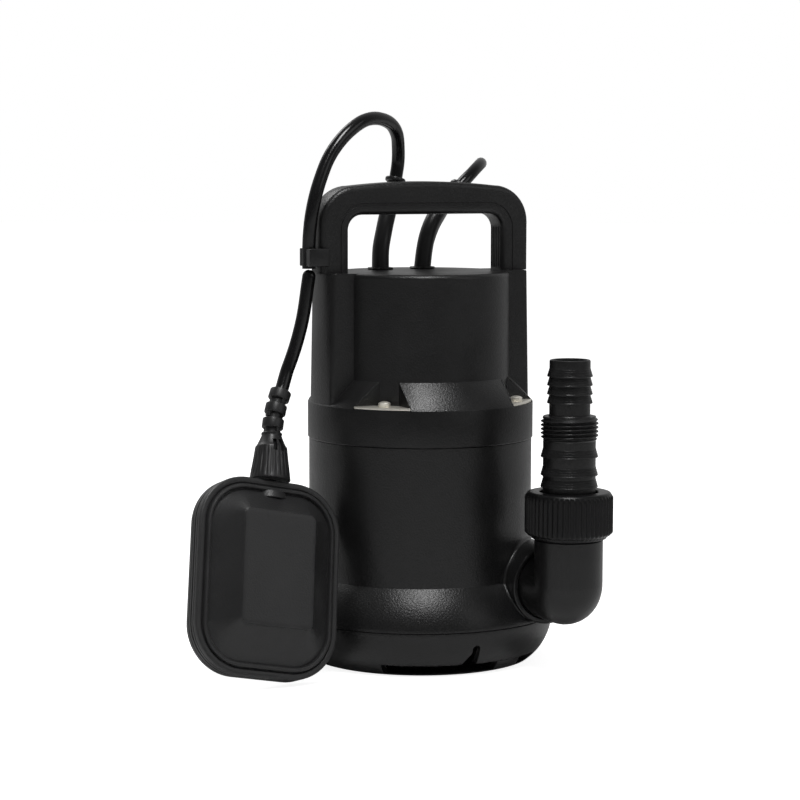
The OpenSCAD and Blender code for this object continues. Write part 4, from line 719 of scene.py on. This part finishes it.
def pillar_at(z, r, corner=2.6):
    """The right-hand pillar's outline at a height: round outside, with rounded corners."""
    reach, half = r - corner, 16.2
    swing = math.degrees(math.asin((half - corner) / reach))
    cx = math.sqrt(reach**2 - (half - corner) ** 2)
    line = [(44, -half)] + arc(cx, corner - half, corner, -90, -swing, 6)
    line += arc(0, 0, r, -swing, swing, 12)[1:-1] + arc(cx, half - corner, corner, swing, 90, 6)
    return [(x, y, z) for x, y in line + [(44, half)]]


pillar = lofted("pillar", [pillar_at(153.7, 66.9), pillar_at(154.5, 66.9), pillar_at(231.4, 65.4),
                           pillar_at(231.85, 65.2), pillar_at(232, 64.8)])
fit(cover, again(pillar, Matrix.Rotation(math.pi, 4, "Z")), "UNION")
fit(cover, pillar, "UNION")
for x in (-14, 14):
    outlet = turned("outlet_hole", [(6.8, 225), (6.8, 235)], (x, 27.5), 48, closed=False)
    cut(cover, outlet)
shade(cover, 34)
BEAD_R, BEAD_SIDES = 0.32, 8
slope = [(67.25 - 13.7 * i / 8, 154.65 + 14.5 * i / 8) for i in range(9)]
beads = []
for k in range(4):
    for swap in (False, True):
        rings = []
        for r, z in slope:
            a, b = POCKET - 0.05, math.sqrt(r * r - POCKET**2)
            spot = Vector((b, a, z) if swap else (a, b, z))
            out = Vector((spot.x, spot.y, 0)).normalized()
            lift = (out + Vector((0, 0, 1))).normalized()
            along = out.cross(Vector((0, 0, 1)))
            rings.append([tuple(spot + BEAD_R * (math.cos(t) * lift + math.sin(t) * along))
                          for t in [math.tau * j / BEAD_SIDES for j in range(BEAD_SIDES)]])
        bead = shade(lofted("slope_bead", rings), 70)
        bead.data.transform(about("Z", 90 * k))
        beads.append(bead)
cover = merged("top_cover", cover, *beads)
wear(cover, moulded_black, "housing_plastic", "pump", "top_cover")

# ------------------------------------------------------------------
# Clamp plates and screws
# Bright stamped plates in the corner pockets under zinc-plated pan-head screws with a cross
# recess. Two more such screws hold the handle from behind.
# ------------------------------------------------------------------
bright_steel = grained("bright_steel", (0.85, 0.82, 0.74), 0.36, 500.0, 0.1, 0.06, metallic=0.82)
plate_shape = arc(0, 0, 53.1, 51.4, 38.6, 6) + arc(0, 0, 66.75, 29.75, 60.25, 16)
plate = prism("clamp_plate", plate_shape, 154.55, 156, lambda u, v, w: (u, v, w))
plates = around(soften(plate, 0.25), (90, 180, 270))
plates.name = plates.data.name = "clamp_plates"
wear(plates, bright_steel, "bright_steel", "pump", "clamp_plates")


def pan_head(name, r, high, depth):
    """A domed pan head on its seat at z = 0, with a cross recess and a stub of shank below."""
    ball = r * 1.9
    start = math.degrees(math.acos(r * 0.93 / ball))
    head = turned(name, [(1.6, -4), (1.6, 0), (r * 0.97, 0), (r, 0.25), (r, high - r * 0.3)]
                  + arc(0, high - ball, ball, start, 86, 8), steps=48, closed=False)
    long, wide = r * 0.58, r * 0.13
    outline = ((-long, -wide), (long, -wide), (long, wide), (-long, wide))
    for a in (0, 90):
        arm = lofted("cross_arm", [[(u * k, v * k, w) for u, v in outline]
                                   for w, k in ((high - depth, 0.45), (high + 1, 1.1))])
        arm.data.transform(about("Z", a))
        cut(head, arm)
    return shade(head, 30)


first = pan_head("cover_screw", 3.6, 3.3, 1.8)
screws = []
for k in range(4):
    a = math.radians(45 + 90 * k)
    spot = moved(60.5 * math.cos(a), 60.5 * math.sin(a), 156)
    screws.append(again(first, spot @ about("Z", 20 + 31 * k)))
bpy.data.objects.remove(first, do_unlink=True)
cover_screws = merged("cover_screws_bright", *screws)
wear(cover_screws, bright_steel, "bright_steel", "pump", "cover_screws")
behind = pan_head("handle_screw", 3.4, 2.4, 1.4)
behind.data.transform(about("X", -90))
right = again(behind, moved(58.9, 16.2, 225))
behind.data.transform(moved(-58.9, 16.2, 225))
handle_screws = merged("handle_screws_bright", behind, right)
wear(handle_screws, bright_steel, "bright_steel", "pump", "handle_screws")

# ------------------------------------------------------------------
# Carry handle
# A thick moulded hoop with rounded edges. A fine groove runs round the hand opening on both
# faces, and the insides of its legs have upright ribs. Tongues key it into the pillars.
# ------------------------------------------------------------------


OPEN_HALF, OPEN_TOP, OPEN_R, CROWN_R = 50.2, 266, 9, 420


def open_corner(inset, steps):
    """The opening's upper right corner, with the opening grown by inset."""
    r = OPEN_R + inset
    return [(OPEN_HALF + inset - r + r * math.cos(a), OPEN_TOP + inset - r + r * math.sin(a))
            for a in [math.pi / 2 * k / steps for k in range(steps + 1)]]


def mirrored(line):
    """The line's mirror image on the handle's other side, run the other way."""
    return [(-x, z) for x, z in line[::-1]]


def hoop(inset, y):
    """The handle's outline in one plane, drawn in by inset on its outside and in the opening."""
    half, out, top, foot = 67.6 - inset, 22 - inset, 285.4 - inset, 232.02
    across = half - out

    def crown_z(x):
        """Height of the slightly arched top edge."""
        return top - (CROWN_R - math.sqrt(CROWN_R * CROWN_R - x * x))

    left = [(-half, foot), (-half, foot + 8), (-half, foot + 16)]
    left += [(-across + out * math.cos(a), crown_z(across) - out + out * math.sin(a))
             for a in [math.pi - math.pi / 2 * k / 12 for k in range(13)]]
    crown = [(x, crown_z(x)) for x in [across * (k / 8 - 1) for k in range(1, 16)]]
    opening, open_top = OPEN_HALF + inset, OPEN_TOP + inset
    inner = [(opening, foot), (opening, foot + 12)] + open_corner(inset, 8)
    line = left + crown + mirrored(left) + inner
    line += [(30, open_top), (0, open_top), (-30, open_top)] + mirrored(inner)
    return [(x, y, z) for x, z in line]


edge_round = [(-9.2, 3.4), (-9.1, 2.4), (-8.75, 1.45), (-8.1, 0.7), (-7.2, 0.2), (-6.2, 0.0)]
handle = lofted("handle_hoop", [hoop(i, y) for y, i in edge_round]
                + [hoop(i, -y) for y, i in edge_round[::-1]])
for s in (-1, 1):
    band = []
    for y, spread in ((-9.9, 0.62), (-8.75, 0.1)):
        ring = []
        for inset, flip in ((6.6 + spread, 1), (5.4 - spread, -1)):
            half_way = [(OPEN_HALF + inset, 230)] + open_corner(inset, 10)
            ring += (half_way + mirrored(half_way))[::flip]
        band.append([(x, s * y, z) for x, z in ring])
    cut(handle, lofted("band_groove", band))
shade(handle, 30)
grips = []
grip_shape = [(0.2, 233.2), (0.42, 234.2), (0.42, 257.5), (0.3, 258.6), (0.1, 259.4)]
for s in (-1, 1):
    for k in range(6):
        grip = turned("grip_rib", grip_shape, (s * 50.3, -6 + 2.4 * k), 12, closed=False)
        grips.append(shade(grip, 60))
tongues = [block("tongue", (s * 58.9 - 4, -5, 218.1), (s * 58.9 + 4, 5, 232.5)) for s in (-1, 1)]
handle = merged("carry_handle", handle, *grips, *tongues)
wear(handle, moulded_black, "housing_plastic", "pump", "handle")

# ------------------------------------------------------------------
# Cable clip
# A small moulded clip on the outside of the left leg. The float's cable snaps in from the side
# and a thin end plate hooks round the front of the leg.
# ------------------------------------------------------------------
CLIP_LEFT, CLIP_FRONT, CLIP_LOW, CLIP_HIGH = -75.9, -9.22, 236.2, 246.6
clip = block("clip_body", (CLIP_LEFT, CLIP_FRONT, CLIP_LOW), (-67.62, 5.45, CLIP_HIGH))
hook = block("clip_hook", (CLIP_LEFT, -10.82, CLIP_LOW), (-63.62, CLIP_FRONT, CLIP_HIGH))
fit(clip, hook, "UNION")
cut(clip, turned("clip_hole", [(4.12, 230), (4.12, 250)], (-72.8, -1.5), 48, closed=False))
cut(clip, block("clip_mouth", (-90, -4.6, 230), (-72.8, 1.6, 250)))
soften(clip, 0.5, 3, 40)
clip_black = grained("clip_black", (0.009, 0.009, 0.0093), 0.34, 1500.0, 0.12, 0.1, specular=0.4)
wear(clip, clip_black, "housing_plastic", "pump", "cable_clip")

# ------------------------------------------------------------------
# Cable glands and strain reliefs
# A flanged gland seals each cable in the head's top. A rubber sleeve leaves it, tapers along
# the cable and ends in a thick rim.
# ------------------------------------------------------------------
gland = turned("gland", [
    (5.5, 227.05), (6.7, 227.05), (6.7, 232.02), (7.4, 232.03), (7.7, 232.3), (7.7, 232.95),
    (7.35, 233.3), (5.5, 233.32)], (-14, 27.5), 64)
second_gland = again(gland, Matrix.Translation((0.028, 0, 0)))
glands = shade(merged("gland_pair", gland, second_gland), 40)
wear(glands, fitting_black, "fitting_plastic", "pump", "cable_glands")

relief_rubber = grained("relief_rubber", (0.013, 0.013, 0.0135), 0.33, 1200.0, 0.08, 0.12, 0.1, 0.45)
RIM = ((2.62, 4.95), (2.6, 5.6), (2.35, 6.05), (2.0, 6.2), (0.6, 6.2), (0.25, 6.05), (0.02, 5.6),
       (0.0, 4.3))
for side, route, beyond, node in (
    ("float_relief",
     [(-14, 27.5, 228), (-14, 27.5, 232), (-13.5, 28, 244), (-11, 29.5, 254), (-8, 31, 264),
      (-4, 33.5, 274.5), (0, 36, 287)], (1.5, 36, 296.5), "float_strain_relief"),
    ("power_relief",
     [(14, 27.5, 228), (14, 27.5, 232), (15.5, 27.5, 244), (18.2, 28, 254), (23, 29, 263),
      (31.5, 31, 273), (42, 33.7, 281.6)], (48, 35.5, 286.5), "power_strain_relief"),
):
    heading = (Vector(beyond) - Vector(route[-2])).normalized()
    end = Vector(route[-1])
    route = route[:-1] + [tuple(end - heading * 3.0)]
    line = eased(route, 6)
    sizes = [5.3 - 0.4 * i / (len(line) - 1) for i in range(len(line))]
    for back, r in RIM:
        line.append((end - heading * back) * MM)
        sizes.append(r)
    relief = run_of_cord(side, line, MM, sizes)
    wear(relief, relief_rubber, "cable_rubber", "pump", node)

# ------------------------------------------------------------------
# Float shells
# Two moulded halves welded round a seal. Each has a flat flange, a groove, a round ridge and a
# dish, out of which a raised face rises on four sloping sides.
# ------------------------------------------------------------------
float_black = grained("float_black", (0.021, 0.021, 0.0215), 0.38, 1000.0, 0.7, specular=0.4)
FACE_RISE = 3.4


def rounded(w, h, r, y):
    """A rounded rectangle standing at depth y, with the same count of points at any size."""
    cx, cz = w / 2 - r, h / 2 - r
    line = []
    for sx, sz, start in ((1, 1, 0), (-1, 1, 90), (-1, -1, 180), (1, -1, 270)):
        line += arc(sx * cx, sz * cz, r, start, start + 90, 16)
    return [(x, y, z) for x, z in line]


def ledge(inset, y):
    """The float's outline drawn in by inset."""
    return rounded(89.6 - 2 * inset, 114 - 2 * inset, 28.8 - inset, y)


def face_ring(w, h, r, y):
    """An outline on the raised face, which sits a little above the float's middle."""
    return [(x, y, z + FACE_RISE) for x, y, z in rounded(w, h, r, y)]


shell_rings = [
    face_ring(39.6, 60.6, 1.2, -17.1),
    *[ledge(inset, y) for inset, y in (
        (8.8, -5.5), (8.8, -4.3), (8.8, -0.52), (0.25, -0.52), (0, -0.8), (0, -2.3), (0.35, -2.5),
        (0.35, -3.0), (0, -3.2), (0, -5.6), (0.2, -6.15), (0.7, -6.45), (1.2, -6.5), (2.9, -6.5),
        (3.2, -6.35), (3.4, -5.9), (4.0, -5.6), (4.2, -6.4), (4.4, -7.5), (4.9, -8.1), (5.6, -8.3),
        (6.3, -8.1), (6.8, -7.5), (7.0, -6.6), (7.1, -6.0), (7.6, -6.1))],
    *[face_ring(w, w + 21, r, y) for w, r, y in (
        (46.2, 4.4, -17.9), (45.7, 4.2, -18.5), (45.3, 4.0, -18.6), (44.9, 3.8, -19.15),
        (44.2, 3.4, -19.3), (40, 2.0, -19.3))],
]
shell = lofted("float_front", shell_rings)
shade(shell, 28)
back_shell = again(shell, Matrix.Rotation(math.pi, 4, "Z"))
back_shell.name = back_shell.data.name = "float_back"
# Half of the boot's conical seat stands out of the front shell under the bell.
seat_shape = [(10.5, 46.2), (10.9, 46.4), (11.0, 46.8), (9.5, 50.6), (9.1, 50.9), (4, 51)]
seat = shade(turned("bell_seat", seat_shape, (1.0, 0), 96, closed=False), 30)
shell = merged("float_front", shell, seat)
for half, node in ((shell, "float_front_shell"), (back_shell, "float_rear_shell")):
    half.data.transform(float_frame)
    wear(half, float_black, "fitting_plastic", "float", node)

# ------------------------------------------------------------------
# Float boot
# A soft moulded boot over the cable's entry: a fluted bell with two small slots on each side, a
# waist, and three thick rings that let the cable bend.
# ------------------------------------------------------------------
boot_rubber = grained("boot_rubber", (0.015, 0.015, 0.0155), 0.4, 1300.0, 0.12, 0.12, specular=0.4)
BELL_SIDES = 240
FLUTE = (0.0, 0.0, 0.0, 0.2, 0.34, 0.34, 0.34, 0.2, 0.0, 0.0)
bell = turned("boot_bell", [
    (4.0, 0.9), (11.5, 0.9), (11.9, 1.3), (11.9, 1.7), (11.75, 2.6), (11.5, 5), (10.9, 9), (10.3, 13),
    (9.7, 17.5), (9.4, 20), (9.2, 20.8), (8.7, 21.3), (7.9, 22.8), (6.9, 25), (6.0, 27.2), (5.85, 27.7),
    (6.0, 28.3), (6.1, 28.9), (5.8, 29.4), (5.2, 29.5), (4.0, 29.5)], steps=BELL_SIDES)
for v in bell.data.vertices:
    x, y, z = v.co / MM
    r = math.hypot(x, y)
    if 2 < z < 19 and r > 8:
        wave = round(math.atan2(y, x) / math.tau * BELL_SIDES) % len(FLUTE)
        dip = FLUTE[wave] * min(1.0, (z - 2) / 2, (19 - z) / 2)
        v.co.x, v.co.y = x * (1 - dip / r) * MM, y * (1 - dip / r) * MM
for a in (-101, -72, 79, 108):
    notch = block("boot_slot", (-1.15, -12, 17.4), (1.15, -5.2, 24.6))
    notch.data.transform(about("Z", a + 90))
    cut(bell, notch)
shade(bell, 34)
bell.data.transform(boot_foot)
boot_pieces = [bell]
ring_shape = [(3.9, -0.6), (4.3, -0.6), (4.35, 2.6), (5.9, 2.65), (6.25, 3.0), (6.3, 3.3), (6.3, 7.8),
              (6.2, 8.15), (5.9, 8.4), (4.35, 8.45), (4.3, 9.0), (3.9, 9.0)]
for k in range(3):
    ring = shade(turned("boot_ring", ring_shape, steps=64), 26)
    webs = []
    for low, high in ((-5.7, -3.9), (3.9, 5.7)):
        web = block("boot_web", (-1.5, low, -0.5), (1.5, high, 3.2))
        web.data.transform(about("Z", 18 + 90 * (k % 2)))
        webs.append(soften(web, 0.3))
    ring = merged("boot_ring", ring, *webs)
    ring.data.transform(boot_joints[k] @ boot_bend)
    boot_pieces.append(ring)
boot = merged("float_boot_ribbed", *boot_pieces)
boot.data.transform(float_frame)
wear(boot, boot_rubber, "cable_rubber", "float", "float_boot")

# ------------------------------------------------------------------
# Carried pieces
# Seals, and everything inside the housing and the float, keep the shape they are built with
# and get their finishes here: steel, cast metal, laminations, copper, ceramic and plastics.
# ------------------------------------------------------------------
seal_black = grained("seal_black", (0.013, 0.013, 0.013), 0.55, 1100.0, 0.2, 0.15, specular=0.3)
bearing_steel = grained("bearing_steel", (0.56, 0.56, 0.57), 0.12, 400.0, 0.02, 0.03, metallic=1.0)
cast_aluminium = grained("cast_aluminium", (0.6, 0.6, 0.61), 0.45, 700.0, 0.5, 0.08, metallic=1.0)
core_steel = grained("core_steel", (0.3, 0.3, 0.31), 0.4, 900.0, 0.2, 0.1, metallic=1.0)
copper_wire = grained("copper_wire", (0.75, 0.33, 0.16), 0.3, 900.0, 0.3, 0.12, 0.3, metallic=1.0)
seal_ceramic = grained("seal_ceramic", (0.76, 0.74, 0.68), 0.3, 1200.0, 0.05, 0.03, 0.2)
pale_plastic = grained("pale_plastic", (0.68, 0.67, 0.62), 0.4, 1500.0, 0.1, 0.04)
impeller_plastic = grained("impeller_plastic", (0.045, 0.045, 0.05), 0.38, 1500.0, 0.12, 0.08)
lead_colour = grained("lead_insulation", (0.06, 0.16, 0.42), 0.35, 900.0, 0.05, 0.05)
finishes = {
    "housing_plastic": moulded_black, "fitting_plastic": fitting_black, "seal_rubber": seal_black,
    "cable_rubber": jacket, "bright_steel": bright_steel, "bearing_steel": bearing_steel,
    "cast_aluminium": cast_aluminium, "core_steel": core_steel, "copper_wire": copper_wire,
    "seal_ceramic": seal_ceramic, "pale_plastic": pale_plastic, "impeller_plastic": impeller_plastic,
    "lead_insulation": lead_colour,
}
for entry in frame["record"]["subparts"]:
    if entry["node"] not in ("cord_tie", "plug_blades"):
        paint(parts[entry["node"]], finishes[entry["material_slot"]])

# ------------------------------------------------------------------
# Floor, lights and surroundings
# A white floor with a faint shadow. A small key lamp hangs high in front, a weak wide one fills
# from the right and one behind draws the rims. Gloss mirrors a room that is dim on the camera's
# side and brighter behind the pump.
# ------------------------------------------------------------------
let_go()
bpy.ops.mesh.primitive_circle_add(vertices=96, radius=9.0, fill_type="NGON", location=(0, 0, -0.0002))
floor = bpy.context.object
floor.name = "floor"
floor_white = bpy.data.materials.new("floor_white")
floor_white.use_nodes = True
floor_nodes, floor_wire = floor_white.node_tree.nodes, floor_white.node_tree.links
floor_face = floor_nodes["Principled BSDF"]
preset(floor_face, {"Base Color": (0.72, 0.72, 0.72, 1), "Roughness": 0.9, "Specular IOR Level": 0.1,
                    "Emission Color": (1, 1, 1, 1)})
seen = floor_nodes.new("ShaderNodeLightPath")
floor_glow = floor_nodes.new("ShaderNodeMath")
floor_glow.operation = "MULTIPLY"
floor_glow.inputs[1].default_value = 0.86
floor_wire.new(seen.outputs["Is Camera Ray"], floor_glow.inputs[0])
floor_wire.new(floor_glow.outputs["Value"], floor_face.inputs["Emission Strength"])
floor.data.materials.append(floor_white)

world = bpy.data.worlds.new("surroundings")
bpy.context.scene.world = world
world.use_nodes = True
air, air_wire = world.node_tree.nodes, world.node_tree.links
air.clear()


def air_glow(strength):
    """A white background of this strength."""
    glow = air.new("ShaderNodeBackground")
    preset(glow, {"Color": (1, 1, 1, 1), "Strength": strength})
    return glow


out = air.new("ShaderNodeOutputWorld")
ray = air.new("ShaderNodeLightPath")
look_way = air.new("ShaderNodeTexCoord")
behind_pump = air.new("ShaderNodeVectorMath")
behind_pump.operation = "DOT_PRODUCT"
behind_pump.inputs[1].default_value = (0.42, 0.907, 0.0)
room_light = air.new("ShaderNodeMapRange")
room_light.interpolation_type = "SMOOTHSTEP"
preset(room_light, {"From Min": -0.15, "From Max": 0.65, "To Min": 0.075, "To Max": 0.42})
fill, room, white = air_glow(0.35), air_glow(0.0), air_glow(1.0)
mirror_mix, seen_mix = air.new("ShaderNodeMixShader"), air.new("ShaderNodeMixShader")
through = air.new("ShaderNodeMath")
through.operation = "MAXIMUM"
for source, target in (
    (look_way.outputs["Generated"], behind_pump.inputs[0]),
    (behind_pump.outputs["Value"], room_light.inputs["Value"]),
    (room_light.outputs["Result"], room.inputs["Strength"]),
    (ray.outputs["Is Glossy Ray"], mirror_mix.inputs["Fac"]),
    (fill.outputs["Background"], mirror_mix.inputs[1]),
    (room.outputs["Background"], mirror_mix.inputs[2]),
    (ray.outputs["Is Camera Ray"], through.inputs[0]),
    (ray.outputs["Is Transmission Ray"], through.inputs[1]),
    (through.outputs["Value"], seen_mix.inputs["Fac"]),
    (mirror_mix.outputs["Shader"], seen_mix.inputs[1]),
    (white.outputs["Background"], seen_mix.inputs[2]),
    (seen_mix.outputs["Shader"], out.inputs["Surface"]),
):
    air_wire.new(source, target)
PUMP_MIDDLE = Vector((0, 0, 0.14))


def lamp(name, azimuth, height, distance, width, tall, watts):
    """An area light at this azimuth round the pump, turned toward its middle."""
    data = bpy.data.lights.new(name, "AREA")
    data.shape = "RECTANGLE"
    data.size = width
    data.size_y = tall
    data.energy = watts
    light = bpy.data.objects.new(name, data)
    bpy.context.scene.collection.objects.link(light)
    a = math.radians(azimuth)
    light.location = (distance * math.sin(a), -distance * math.cos(a), height)
    light.rotation_euler = (PUMP_MIDDLE - light.location).to_track_quat("-Z", "Y").to_euler()


lamp("key", -20, 1.5, 0.6, 0.4, 0.7, 15)
lamp("front_fill", 38, 1.0, 1.6, 1.1, 0.9, 2.6)
lamp("back_rim", -165, 1.3, 1.3, 0.8, 0.5, 5)
